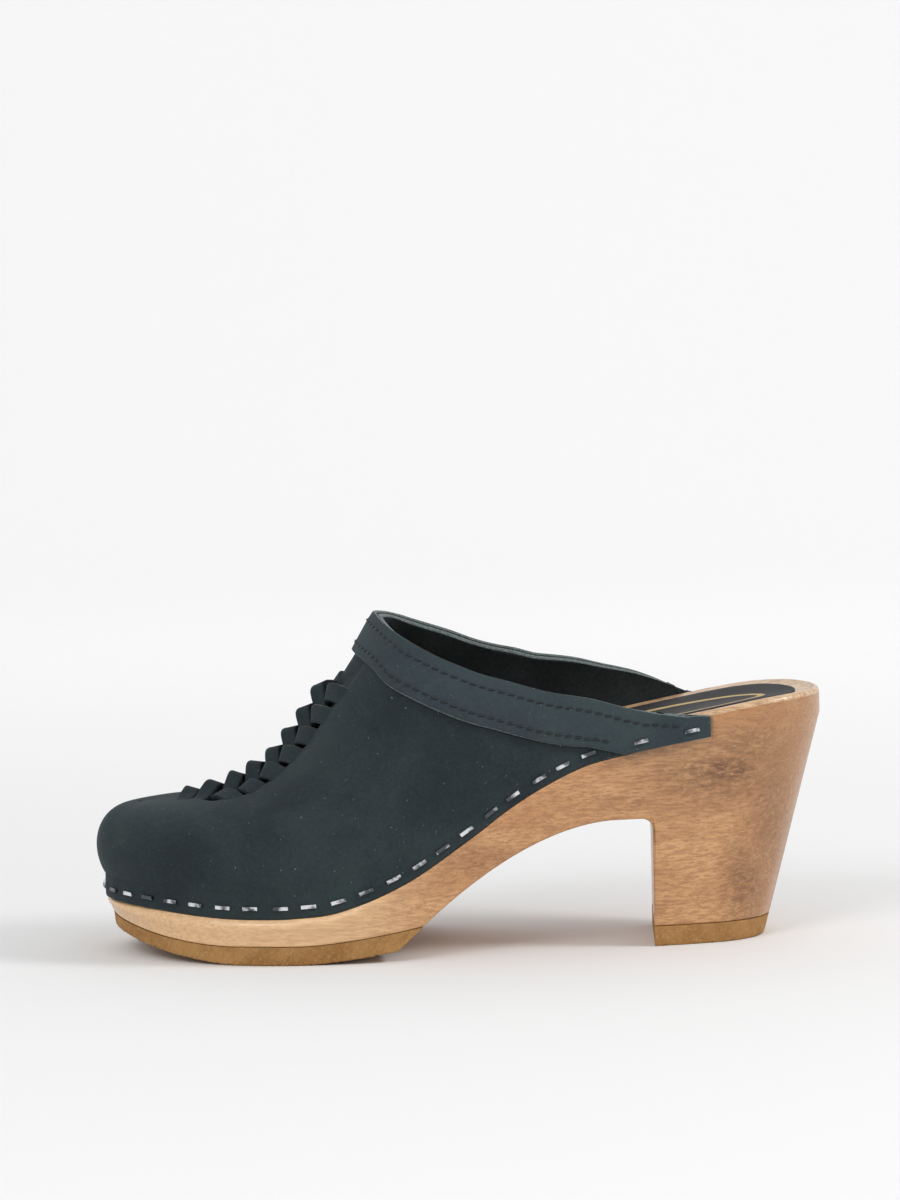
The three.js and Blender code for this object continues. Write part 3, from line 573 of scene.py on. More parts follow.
def nap_group():
    """The nap of brushed leather: cloudy patches where the nap lies one way or another, fine fibres, and
    stray pale specks."""
    takes = {"Deep": "Color", "Worn": "Color", "Specks": "Float"}
    tree, nodes, given = new_group("brushed_nap", takes, {"Colour": "Color", "Height": "Float"})
    where = nodes.place()
    clouds = nodes.noise(where, 38, 6, 0.62, 0.6)
    patches = nodes.noise(nodes.place((1, 1, 0.7), shift=(3, 1, 2)), 14, 3, 0.5, 1.2)
    fibres = nodes.noise(nodes.place(turn=(0.4, 0.2, 0.5)), 900, 4, 0.7)
    grain = nodes.noise(where, 2600, 2, 0.6)
    worn = nodes.total(
        (nodes.spread(clouds, 0.35, 0.75, 0, 0.55), 1),
        (nodes.spread(patches, 0.4, 0.7, 0, 0.4), 1),
        (nodes.spread(fibres, 0.3, 0.75, -0.16, 0.22), 1),
    )
    colour = nodes.mix(worn, given["Deep"], given["Worn"])
    dots = nodes.spread(nodes.noise(nodes.place(shift=(5, 7, 1)), 1000, 1, 0.4), 0.76, 0.8)
    colour = nodes.mix(nodes.maths("MULTIPLY", dots, given["Specks"]), colour, rgb(120, 134, 132))
    height = nodes.total((fibres, 0.5), (grain, 0.35), (clouds, 0.6))
    nodes.add("NodeGroupOutput", {"Colour": colour, "Height": height})
    return tree


def nap_leather(name, deep, worn, specks, bump, sheen, roughness=0.86):
    material, nodes, shader = new_material(name)
    nap = nodes.group(NAP, Deep=deep, Worn=worn, Specks=specks)
    feed(nodes, shader, Base_Color=nap["Colour"], Normal=nodes.bump(nap["Height"], bump, 0.35))
    feed(nodes, shader, Roughness=roughness, Sheen_Weight=sheen, Sheen_Roughness=0.45)
    feed(nodes, shader, Sheen_Tint=rgb(150, 172, 180), Specular_IOR_Level=0.25)
    return material


def oval_reach(nodes, middle, half):
    """Distance from an oval's middle as a share of its half-sizes, both in pattern millimetres. An axis
    whose half-size is 0 isn't counted."""
    size = [1 / (h * MM) if h else 0.0 for h in half]
    shift = [-(m + moved) * MM * scale for m, moved, scale in zip(middle, SHIFT, size)]
    reach = nodes.add("ShaderNodeVectorMath", {0: nodes.place(size, shift=shift)}, operation="LENGTH")
    return reach.outputs["Value"]


# Smudges on the wood: middle and half-sizes along and up, and how dark.
SMUDGES = (
    ((84, 57), (27, 12), 0.75),
    ((88, 59), (15, 7), 1.0),
    ((94, 66), (16, 11), 0.6),
    ((102, 44), (10, 30), 0.5),
    ((93, 20), (9, 18), 0.7),
    ((56, 50), (16, 5), 0.3),
    ((55, 67), (22, 6), 0.6),
    ((6, 33), (18, 6), 0.4),
    ((72, 78), (12, 4), 0.35),
)


def smudges(nodes):
    """Dark handling marks: each an oval that fades outwards, broken up by noise."""
    ragged = nodes.noise(nodes.place((1, 2.6, 2.6), shift=(4, 4, 4)), 230, 8, 0.85, 0.3)
    marks = 0.0
    for (x, z), (wide, high), dark in SMUDGES:
        reach = oval_reach(nodes, (x, 0, z), (wide, 0, high))
        marks = nodes.maths("MAXIMUM", marks, nodes.spread(reach, 0.1, 1.35, dark, 0.0))
    return nodes.maths("MULTIPLY", marks, nodes.spread(ragged, 0.37, 0.6, 0.2, 1.0))


def alder_group():
    """Alder: a honey ground, growth bands that run along the shoe, short dark pores drawn out along the
    grain, mottled figure, and handling smudges on the waist and the heel's outer side. It is paler towards
    the toe, where painted light stands in for light from the front above, paler where it is bare, and darker
    at the heel's back."""
    gives = {"Colour": "Color", "Height": "Float", "Roughness": "Float"}
    tree, nodes, given = new_group("alder_grain", {"Bare": "Float"}, gives)
    bands = nodes.noise(nodes.place((1, 7, 7), (0, 0.03, 0)), 18, 4, 0.55, 0.5)
    fine = nodes.noise(nodes.place((1, 9, 9), (0, 0.02, 0.02)), 130, 5, 0.7, 0.2)
    pores = nodes.noise(nodes.place((1, 8, 8), (0, 0.03, 0), (1, 2, 3)), 420, 4, 0.7, 0.1)
    figure = nodes.noise(nodes.place((1, 4, 4), shift=(2, 5, 1)), 22, 5, 0.6, 0.4)
    streak = nodes.noise(nodes.place((1, 26, 26), (0, 0.015, 0), (3, 3, 1)), 26, 3, 0.6, 0.15)
    x = nodes.add("ShaderNodeSeparateXYZ", {0: nodes.place()}).outputs["X"]
    colour = nodes.mix(nodes.spread(bands, 0.3, 0.72), rgb(211, 160, 110), rgb(190, 136, 88))
    colour = nodes.laid(
        colour,
        (figure, 0.4, 0.75, 0.35, (166, 114, 70)),
        # painted light: the toe end is laid paler, as if lit from the front above
        (x, -0.004, -0.05, 0.5, (246, 208, 160)),
        (x, 0.086, 0.112, 0.55, (146, 108, 74)),
    )
    colour = nodes.mix(given["Bare"], colour, rgb(244, 219, 182))
    colour = nodes.laid(
        colour,
        (fine, 0.4, 0.64, 0.66, (154, 105, 64)),
        (pores, 0.54, 0.7, 0.75, (116, 76, 44)),
        (streak, 0.5, 0.68, 0.45, (152, 104, 66)),
        # painted light: paler again towards the toe, over the grain
        (x, -0.004, -0.05, 0.5, (238, 197, 148)),
    )
    colour = nodes.mix(smudges(nodes), colour, rgb(96, 60, 28))
    height = nodes.total((fine, 0.5), (pores, -0.8))
    rough = nodes.spread(fine, 0.2, 0.8, 0.36, 0.55)
    nodes.add("NodeGroupOutput", {"Colour": colour, "Height": height, "Roughness": rough})
    return tree


def alder_material(name, bare):
    """Alder under a thin coat of oil."""
    material, nodes, shader = new_material(name)
    alder = nodes.group(ALDER, Bare=bare)
    feed(nodes, shader, Base_Color=alder["Colour"], Roughness=alder["Roughness"])
    feed(nodes, shader, Normal=nodes.bump(alder["Height"], 0.18, 0.25))
    feed(nodes, shader, Coat_Weight=0.6, Coat_Roughness=0.22, Specular_IOR_Level=0.5)
    return material


def fibre_group():
    """Cut leather: loose pale fibres on a darker ground."""
    takes = {"Scale": "Float", "Deep": "Color", "Pale": "Color"}
    tree, nodes, given = new_group("cut_fibres", takes, {"Colour": "Color", "Height": "Float"})
    fibres = nodes.noise(nodes.place(), given["Scale"], 4, 0.75)
    colour = nodes.mix(nodes.spread(fibres, 0.3, 0.7), given["Deep"], given["Pale"])
    nodes.add("NodeGroupOutput", {"Colour": colour, "Height": fibres})
    return tree


def cut_leather(name, scale, deep, pale, sheen, specular):
    """A cut edge, rougher than the face of the leather."""
    material, nodes, shader = new_material(name)
    cut = nodes.group(FIBRES, Scale=scale, Deep=deep, Pale=pale)
    feed(nodes, shader, Base_Color=cut["Colour"], Normal=nodes.bump(cut["Height"], 0.7, 0.4))
    feed(nodes, shader, Roughness=0.95, Sheen_Weight=sheen, Specular_IOR_Level=specular)
    return material


NAP = nap_group()
ALDER = alder_group()
FIBRES = fibre_group()


def crepe_material():
    """Crepe rubber: an amber ground packed with paler and darker grains, and a pitted surface."""
    material, nodes, shader = new_material("amber_crepe")
    where = nodes.place()
    cloud = nodes.noise(where, 60, 5, 0.6, 0.4)
    grains = nodes.noise(nodes.place(shift=(1, 3, 5)), 900, 5, 0.8, 0.6)
    pits = nodes.noise(where, 1700, 3, 0.7)
    colour = nodes.mix(nodes.spread(cloud, 0.3, 0.7), rgb(176, 134, 84), rgb(150, 108, 63))
    colour = nodes.laid(
        colour,
        (grains, 0.52, 0.7, 0.7, (206, 168, 116)),
        (pits, 0.58, 0.72, 0.55, (96, 64, 34)),
    )
    height = nodes.total((grains, 1), (pits, -0.6))
    feed(nodes, shader, Base_Color=colour, Normal=nodes.bump(height, 0.5, 0.4), Roughness=0.78)
    feed(nodes, shader, Specular_IOR_Level=0.3)
    return material


def sock_material():
    """Dark half-sock: smooth charcoal leather with a fine pebble, edged by a plain gilt oval line."""
    material, nodes, shader = new_material("charcoal_sock")
    pebble = nodes.noise(nodes.place(), 1500, 3, 0.6)
    cloud = nodes.noise(nodes.place(shift=(2, 2, 2)), 45, 4, 0.6, 0.4)
    colour = nodes.mix(nodes.spread(cloud, 0.3, 0.7), rgb(46, 44, 47), rgb(33, 32, 35))
    worn = nodes.noise(nodes.place(shift=(7, 1, 4)), 700, 4, 0.7)
    gilt = nodes.maths("MULTIPLY", gilt_line(nodes), nodes.spread(worn, 0.3, 0.5, 0.55, 1.0))
    colour = nodes.mix(gilt, colour, rgb(198, 172, 118))
    feed(nodes, shader, Base_Color=colour, Normal=nodes.bump(pebble, 0.25, 0.2), Roughness=0.62)
    feed(nodes, shader, Metallic=nodes.maths("MULTIPLY", gilt, 0.3), Specular_IOR_Level=0.3)
    return material


GILT_MIDDLE = (72.0, -4.0)
GILT_HALF = (31.0, 13.5)
GILT_WIDTH = 2.6


def gilt_line(nodes):
    """A band between two ovals: inside the outer one and outside the inner one."""
    long, wide = GILT_HALF
    outer, inner = (
        oval_reach(nodes, (*GILT_MIDDLE, 0), (long - trim, wide - trim, 0)) for trim in (0, GILT_WIDTH)
    )
    inside_outer = nodes.spread(outer, 0.99, 1.01, 1.0, 0.0)
    return nodes.maths("MULTIPLY", inside_outer, nodes.spread(inner, 0.99, 1.01))


def thread_material():
    """Waxed thread: near black, with the twist of its strands as a fine ripple."""
    material, nodes, shader = new_material("waxed_thread")
    twist = nodes.add("ShaderNodeTexWave", {"Vector": nodes.place(turn=(0, 0.6, 0.5)), "Scale": 900.0})
    colour = nodes.mix(twist.outputs["Fac"], rgb(12, 15, 18), rgb(30, 36, 40))
    ripple = nodes.bump(twist.outputs["Fac"], 0.4, 0.1)
    feed(nodes, shader, Base_Color=colour, Normal=ripple, Roughness=0.5)
    return material


def stiffener_material():
    """Toe puff board: pale pressed fibre."""
    material, nodes, shader = new_material("fibre_board")
    fibres = nodes.noise(nodes.place((1, 1, 3)), 500, 5, 0.7, 1.0)
    colour = nodes.mix(nodes.spread(fibres, 0.3, 0.7), rgb(196, 184, 154), rgb(158, 142, 110))
    feed(nodes, shader, Base_Color=colour, Normal=nodes.bump(fibres, 0.4, 0.3), Roughness=0.85)
    return material


def steel_material():
    """Bright staple wire: drawn steel with fine scratches, and dark patches of painted reflection where the
    wire would mirror dark surroundings.
    """
    material, nodes, shader = new_material("staple_steel")
    scratch = nodes.noise(nodes.place((1, 1, 6)), 900, 3, 0.6)
    # painted reflection: dark patches stand in for dark surroundings mirrored in the wire
    painted_dark_reflection = nodes.noise(nodes.place(shift=(1, 1, 1)), 160, 3, 0.6)
    colour = nodes.mix(nodes.spread(painted_dark_reflection, 0.4, 0.56), rgb(226, 228, 230), rgb(84, 88, 92))
    feed(nodes, shader, Base_Color=colour, Metallic=1.0, Normal=nodes.bump(scratch, 0.15, 0.1))
    feed(nodes, shader, Roughness=nodes.spread(scratch, 0.3, 0.7, 0.16, 0.36))
    return material


# ---------------------------------------------------------------- wooden sole


def toe_columns(count, end):
    """x of columns from the toe to end, closer together at the toe so that its round front is even."""
    return TOE_X + (end - TOE_X) * (1 - np.cos(np.linspace(0, np.pi / 2, count)))


CORNER = 0.8
# Between these places the columns of the wall fan out over the heel's front face.
WALL_FAN_FROM = 45.0
WALL_FAN_TO = 86.0
TOE_COLUMNS = 170


def breast_profile():
    """The underside from the waist down the heel's front face to its bottom: a quarter-circle into the
    face, the face, and a small quarter-circle out of it. Returns x, z."""
    low = HEEL_TREAD + GAP
    turn = np.linspace(0, np.pi / 2, 7)
    top_x = BREAST_X - BREAST_FILLET + BREAST_FILLET * np.sin(turn)
    top_z = ARCH_HEIGHT - BREAST_FILLET + BREAST_FILLET * np.cos(turn)
    face_z = np.linspace(ARCH_HEIGHT - BREAST_FILLET, low + CORNER, 24)[1:-1]
    foot_x = BREAST_X + CORNER * (1 - np.cos(turn))
    foot_z = low + CORNER * (1 - np.sin(turn))
    x = np.concatenate([top_x, np.full(len(face_z), BREAST_X), foot_x])
    return x, np.concatenate([top_z, face_z, foot_z])


def skewed(place):
    """x of a point of the underside's profile, which moves towards the heel across the shoe."""
    return place[..., 0] - BREAST_SKEW * (place[..., 1] + SKEW_FROM)


def underside_columns(side):
    """Where each column of the sole's wall starts, as a place x, z on the wall: along the tread's top and
    the arch each x with the profile's height there, then the heel's front face, then the heel's bottom to
    the back."""
    waist = np.linspace(WALL_FAN_FROM + 1, BREAST_X - BREAST_FILLET, 14)
    front = np.concatenate([toe_columns(TOE_COLUMNS, WALL_FAN_FROM), waist])
    height = np.maximum(tread_top(front) + GAP, arch_height(front))
    for _ in range(6):
        at = skewed(wall(side, front, height))
        height = np.maximum(tread_top(at) + GAP, arch_height(at))
    face_x, face_z = breast_profile()
    breast = face_x.copy()
    for _ in range(8):
        breast = breast + face_x - skewed(wall(side, breast, face_z))
    bottom = lerp(breast[-1], BACK_X, np.sin(np.linspace(0, np.pi / 2, 60)))[1:]
    x = np.concatenate([front, breast, bottom])
    z = np.concatenate([height, face_z, np.full(len(bottom), HEEL_TREAD + GAP)])
    return x, z


def wall_tops(x, z):
    """The x at which each column reaches the ledge: its own x in front and behind, and between them shares
    of the way in step with the distance along the underside."""
    run = distance_along(np.stack([x, z], -1))
    heel = z <= HEEL_TREAD + GAP + 1e-6
    start = run[TOE_COLUMNS - 1]
    end = np.interp(WALL_FAN_TO, x[heel], run[heel])
    fanned = lerp(WALL_FAN_FROM, WALL_FAN_TO, (run - start) / (end - start))
    return np.where((run > start) & (run < end), fanned, x)


EDGE_ROUND = 0.9
FOREFOOT_SWELL = 1.4
SWELL_FADE = (-45.0, 0.0)  # x between which the forefoot's swell dies out
# Rows of the sole's grid: across the underside, round its edge, up the wall, up the rebate.
UNDER_ROWS = 7
EDGE_ROWS = 5
WALL_ROWS = 17
REBATE_ROWS = 3
RIM_CELL = UNDER_ROWS + EDGE_ROWS + WALL_ROWS + REBATE_ROWS - 1  # where the rim begins


def top_rows(side, x):
    """The top of the sole: up the rebate from the ledge, round the rim and across the hollow footbed to the
    middle."""
    depth = rebate_depth(x)
    rows = []
    for t in np.linspace(0, 1, REBATE_ROWS):
        height = lerp(ledge_height(x), rim_height(x) - RIM_EDGE, t)
        rows.append(points(*inset_edge(side, x, depth), height))
    for t in np.linspace(0, np.pi / 2, 7)[1:-1]:
        plan = inset_edge(side, x, depth + RIM_EDGE * (1 - np.cos(t)))
        rows.append(points(*plan, rim_height(x) - RIM_EDGE * (1 - np.sin(t))))
    return rows + [bed(side, x, share, 0, 0) for share in np.linspace(1, 0, 10)]


def sole_half(side):
    """One half of the wooden sole as a grid: from the underside round its edge, up the wall, in over the
    ledge and across the top to the middle."""
    x, z = underside_columns(side)
    top = wall_tops(x, z)
    tangent = unit(np.stack([np.gradient(x), np.gradient(z)], -1))
    lift_x, lift_z = -tangent[:, 1] * EDGE_ROUND, tangent[:, 0] * EDGE_ROUND
    lift_x[[0, -1]] = 0
    corner = wall(side, x, z)
    above = wall(side, x + lift_x, z + lift_z)
    nx, ny = edge_normal(side, x)
    outwards = points(nx, ny, 0 * x)
    inner = corner - EDGE_ROUND * outwards
    rows = [inner]
    for t in np.linspace(0, np.pi / 2, EDGE_ROWS)[1:-1]:
        rows.append(corner + (above - corner) * (1 - np.cos(t)) + (inner - corner) * (1 - np.sin(t)))
    rows.append(above)
    swell = FOREFOOT_SWELL * (1 - step(x, *SWELL_FADE))
    for share in np.linspace(0, 1, WALL_ROWS + 1)[1:]:
        row = wall(side, lerp(x + lift_x, top, share), lerp(z + lift_z, ledge_height(top), share))
        rows.append(row + outwards * (swell * np.sin(np.pi * share**1.8))[:, None])
    return np.stack(rows + top_rows(side, top), axis=1)


def wooden_sole(materials):
    halves = {side: sole_half(side) for side in SIDES}
    middle = (halves[LATERAL][:, 0] + halves[MEDIAL][:, 0]) / 2
    grids = []
    for side in SIDES:
        edge = halves[side][:, 0]
        shares = np.linspace(0, 1, UNDER_ROWS + 1)[:-1]
        under = np.stack([lerp(middle, edge, share) for share in shares], axis=1)
        grids.append(outward(side, np.concatenate([under, halves[side]], axis=1)))
    finish = np.zeros((len(grids), grids[0].shape[0] - 1, grids[0].shape[1] - 1))
    finish[:, :, RIM_CELL:] = 1
    piece = mesh_object("carved_sole", grids, finishes=finish.ravel())
    sharp_by_angle(piece, 50)
    return finished(piece, materials, "alder", "wooden_sole")


# ---------------------------------------------------------------- treads


def crumbs(place, size):
    """Small uneven dents of a rubber edge: sines of three directions multiplied, at two scales."""
    x, y, z = np.moveaxis(place, -1, 0)
    coarse = np.sin(x * 1.9 + 2.1 * np.sin(y * 0.9)) * np.sin(y * 2.3 + z * 1.7 + np.sin(x * 0.8))
    fine = np.sin(x * 5.3 + y * 4.1) * np.sin(y * 6.7 - z * 5.9 + x * 2.2)
    return size * (0.65 * coarse + 0.35 * fine)


TREAD_ROUND = 0.6
DENT = 0.4  # depth of the dents in a tread's side
CHIP = 0.7  # and of the chips out of its bottom edge


def tread_half(side, low, high):
    """Half a tread: round the bottom edge and up the side. low and high are the x, z of its two edges at
    each column."""
    (low_x, low_z), (high_x, high_z) = low, high
    nx, ny = edge_normal(side, low_x)
    outwards = points(nx, ny, 0 * nx)
    bottom = wall(side, low_x, low_z)
    rows = []
    for t in np.linspace(0, np.pi / 2, 4):
        rise = np.array([0, 0, TREAD_ROUND * (1 - np.cos(t))])
        rows.append(bottom - outwards * TREAD_ROUND * (1 - np.sin(t)) + rise)
    for share in np.linspace(0, 1, 7)[1:]:
        height = lerp(low_z + TREAD_ROUND, high_z, share)
        rows.append(wall(side, lerp(low_x, high_x, share), height))
    grid = np.stack(rows, axis=1)
    dents = crumbs(grid, DENT)
    dents[0] = 0
    dents[:, -1] *= 0.3
    grid = grid + outwards[:, None, :] * (np.minimum(dents, 0) - 0.05 * (dents != 0))[..., None]
    chips = np.maximum(crumbs(grid * 1.3 + 5, CHIP), 0)
    chips[0] = 0
    grid[:, :4, 2] += chips[:, :4] * np.linspace(1, 0.3, 4)
    return grid


def tread(name, halves, material, node):
    """A whole tread from its two sides, closed across the bottom and the top."""
    grids = []
    for side in SIDES:
        half = halves[side]
        ends = {}
        for row in (0, -1):
            middle = (halves[LATERAL][:, row] + halves[MEDIAL][:, row]) / 2
            ends[row] = [lerp(middle, half[:, row], s) for s in np.linspace(0, 1, 7)[:-1]]
        whole = np.concatenate([np.stack(ends[0], 1), half, np.stack(ends[-1][::-1], 1)], axis=1)
        grids.append(outward(side, whole))
    piece = mesh_object(name, grids, caps=True)
    sharp_by_angle(piece, 50)
    return finished(piece, [material], "crepe", node)


def crossing(rise, low, high):
    """Where a rising function of x reaches zero."""
    x = np.linspace(low, high, 4001)
    return float(np.interp(0, rise(x), x))


def forefoot_tread(material):
    """The tread under the ball and toe: its bottom and top follow the two tread curves up to the arch."""
    rear_low = crossing(lambda x: arch_height(x) - tread_bottom(x), FLAT_REAR_X, ARCH_APEX_X)
    rear_high = crossing(lambda x: arch_height(x) - tread_top(x), FLAT_REAR_X, ARCH_APEX_X)
    share = 1 - np.cos(np.linspace(0, np.pi / 2, 300))
    halves = {}
    for side in SIDES:
        low_x = lerp(TOE_X, rear_low, share)
        high_x = lerp(TOE_X, rear_high, share)
        low_z, high_z = tread_bottom(low_x), tread_top(high_x)
        for _ in range(5):
            low_z = tread_bottom(skewed(wall(side, low_x, low_z)))
            high_z = tread_top(skewed(wall(side, high_x, high_z)))
        halves[side] = tread_half(side, (low_x, low_z), (high_x, high_z + GLUE_LINE))
    return tread("crepe_forefoot", halves, material, "forefoot_tread")


def heel_tread(material):
    """The heel's tread: flat bottom and top, from the heel's front face to its back."""
    share = np.sin(np.linspace(0, np.pi / 2, 120))
    halves = {}
    for side in SIDES:
        fronts = []
        for z in (0.0, HEEL_TREAD):
            x = BREAST_X
            for _ in range(8):
                x = x + BREAST_X - skewed(wall(side, x, z))
            fronts.append(float(x))
        low_x, high_x = (lerp(front, BACK_X, share) for front in fronts)
        high_z = np.full(len(share), HEEL_TREAD + GLUE_LINE)
        halves[side] = tread_half(side, (low_x, 0 * low_x), (high_x, high_z))
    return tread("crepe_heel", halves, material, "heel_tread")


# ---------------------------------------------------------------- half-sock


def bed_height(x, y):
    """Height of the footbed at a place in plan: the same parabola as in bed, across the shoe at that x."""
    low, high = bed_edge(LATERAL, x, 0)[1], bed_edge(MEDIAL, x, 0)[1]
    half = np.abs(high - low).clip(0.5) / 2
    share = np.clip(np.abs(y - (low + high) / 2) / half, 0, 1)
    return rim_height(x) - dish(half) * (1 - share**2)


# The sock's top from its edge to the middle: share of the way out, then the share of its thickness.
SOCK_TOP = (
    (1.0, 0.1), (0.995, 0.3), (0.985, 0.4), (0.96, 0.5), (0.8, 0.55), (0.6, 0.6), (0.4, 0.6), (0.2, 0.6),
    (0.0, 0.6),
)


def sock_row(side, x, share, lift):
    at = bed(side, x, share, SOCK_MARGIN, 0) + np.array([0, SOCK_INWARD, 0])
    return points(at[:, 0], at[:, 1], bed_height(at[:, 0], at[:, 1]) + SOCK_SUNK + SOCK * lift)


def heel_sock(material):
    """The half-sock: a patch of the footbed inset from its rim, raised, with a rounded edge."""
    x = lerp(SOCK_FRONT_X, BACK_X, np.sin(np.linspace(0, np.pi / 2, 120)))
    grids = []
    for side in SIDES:
        under = [sock_row(side, x, share, 0.0) for share in (0.0, 0.25, 0.5, 0.75, 1.0)]
        top = [sock_row(side, x, share, lift) for share, lift in SOCK_TOP]
        grids.append(outward(side, np.stack(under + top, axis=1)))
    piece = mesh_object("half_sock", grids, caps=True)
    sharp_by_angle(piece, 60)
    return finished(piece, [material], "suede", "heel_sock")


# ---------------------------------------------------------------- upper


def staple_feet():
    """The middle of each staple's crown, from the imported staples."""
    middles = []
    for name in sorted(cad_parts):
        if name.startswith("staple_"):
            low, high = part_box(name)
            middles.append(np.array((low + high) / 2) / MM - SHIFT)
    return np.array(middles)


def behind_throat(count):
    """x of columns from the throat to the upper's end, closer together where the edge turns at the
    throat."""
    return lerp(THROAT_X, TAIL_X, np.linspace(0, 1, count) ** 1.6)


def ridge_distance(grid):
    """Distance of each point of a grid from its column's last point, along the column."""
    pieces = np.linalg.norm(np.diff(grid, axis=1), axis=-1)
    run = np.cumsum(pieces[:, ::-1], axis=1)[:, ::-1]
    return np.concatenate([run, np.zeros((len(grid), 1))], axis=1)


UPPER_ROWS = 64
# Where the leather sinks under the lacing and comes up again: along the ridge, and away from it.
LACED_FROM = (LACING_START_X - 5, LACING_START_X - 1)
LACED_TO = (-40.0, -35.0)
LACED_OUT = (STRIP_REACH - 5, STRIP_REACH - 0.5)
STAPLE_SWELL = 0.35
STAPLE_SWELL_WIDTH = 3.4


def lacing_window(x, away):
    """1 inside the laced part of the instep, falling to 0 at its slits' ends."""
    ridge_x = x - LACING_SLANT * away
    ends = step(ridge_x, *LACED_FROM) * (1 - step(ridge_x, *LACED_TO))
    return ends * (1 - step(away, *LACED_OUT))


def upper_half(side, feet):
    """One side of the upper on the last: from the margin's lower edge to the ridge or the opening's edge.
    It sinks under the lacing and swells round each staple, by a bell curve of the distance from its
    crown."""
    x = np.concatenate([toe_columns(200, THROAT_X), behind_throat(120)[1:]])
    top = np.where(x <= THROAT_X, 1, climb_at(x, top_height(side, x)))
    share = np.linspace(0, 1, UPPER_ROWS)
    tall = top[:, None] > 0.05
    climb = np.where(tall, top[:, None] * share**0.9, lerp(-0.9, top[:, None], share))
    margin = np.where(tall, np.linspace(-1, -0.12, 8), np.linspace(-1, -0.92, 8))
    climb = np.concatenate([margin, climb], axis=1)
    columns = np.repeat(x[:, None], climb.shape[1], axis=1)
    grid = last(side, columns, climb)
    turn = 1 if side == LATERAL else -1
    inside = np.clip(columns, TOE_X + 0.1, None)
    facing = normals(lambda u, v: last(side, u, v), inside, np.clip(climb, -0.99, 0.985), turn)
    away = ridge_distance(grid)
    sink = LACING_SINK * lacing_window(columns, away) * (columns < THROAT_X)
    near = np.min(np.linalg.norm(grid[:, :, None, :] - feet[None, None], axis=-1), axis=-1)
    swell = STAPLE_SWELL * np.exp(-((near / STAPLE_SWELL_WIDTH) ** 2))
    keep = np.ones_like(sink)
    keep[0] = 0
    keep[:, -1] = np.where(x <= THROAT_X, 0, 1)
    return grid - facing * ((sink - swell) * keep)[..., None]


def upper(materials):
    feet = staple_feet()
    grids = [outward(side, upper_half(side, feet)) for side in SIDES]
    piece = mesh_object("leather_upper", grids, closed=False)
    wall_of(piece, LEATHER, 0.45)
    return finished(piece, materials, "nubuck", "upper")


# ---------------------------------------------------------------- instep lacing


def ridge_table():
    """x along the ridge and the distance along it from the lacing's first strip."""
    x = np.linspace(-104, 0, 2001)
    crest = points(x, ridge_y(x), ridge_height(x))
    run = distance_along(crest)
    return x, run - np.interp(LACING_START_X, x, run)


RIDGE_RUN = ridge_table()


def beside_ridge(x, across):
    """Points of the last at a distance across from the ridge, negative on the outer side."""
    out = np.zeros(x.shape + (3,))
    fine = np.linspace(1, 0.02, 400)
    for side, chosen in ((LATERAL, across < 0), (MEDIAL, across >= 0)):
        xs = x[chosen]
        grid = last(side, xs[:, None], fine)
        pieces = np.linalg.norm(np.diff(grid, axis=1), axis=-1)
        run = np.concatenate([np.zeros((len(xs), 1)), np.cumsum(pieces, 1)], 1)
        want = np.abs(across[chosen])[:, None]
        i = np.clip((run < want).sum(1) - 1, 0, len(fine) - 2)
        row = np.arange(len(xs))
        t = (want[:, 0] - run[row, i]) / np.maximum(run[row, i + 1] - run[row, i], 1e-9)
        out[chosen] = lerp(grid[row, i], grid[row, i + 1], t[:, None])
    return out


def ridge_place(run):
    return np.interp(run, RIDGE_RUN[1], RIDGE_RUN[0])


def laced_line(run, across, lift):
    """A line above the last, given by the distance along the ridge, the distance across it and the height,
    with the direction away from the last, evened out along the line so that a strip bends in a curve."""
    small = 0.6
    at = beside_ridge(ridge_place(run), across)
    ahead = beside_ridge(ridge_place(run + small), across)
    left = beside_ridge(ridge_place(run), across - small)
    right = beside_ridge(ridge_place(run), across + small)
    facing = unit(np.cross(ahead - at, right - left))
    for _ in range(12):
        facing[1:-1] = unit(facing[:-2] + 2 * facing[1:-1] + facing[2:])
    return at + facing * lift[..., None], facing


STRIP_STEPS = 40
STRIP_CORNER = 0.35
SECTION_EDGES = (7, 8)  # cells of the section where the cut edge shows pale
STRIP_STRAY = 0.25  # how far one strip's height strays from the next one's near the ridge
TILT_STRAY = 5.0  # and its tilt, in degrees


def strip_section():
    """The strip's section: a flat bar with small round corners, its places across and up."""
    turn = np.linspace(0, np.pi / 2, 3)
    wide, high = STRIP_WIDTH / 2 - STRIP_CORNER, STRIP_THICK / 2 - STRIP_CORNER
    ring = []
    for sx, sz, start in ((1, 1, 0), (-1, 1, 1), (-1, -1, 2), (1, -1, 3)):
        for t in turn + start * np.pi / 2:
            ring.append((sx * wide + STRIP_CORNER * np.cos(t), sz * high + STRIP_CORNER * np.sin(t)))
        if start in (0, 2):
            for share in (0.25, 0.5, 0.75):
                ring.append((lerp(sx, -sx, share) * wide, sz * STRIP_THICK / 2))
    return np.array(ring + ring[:1])


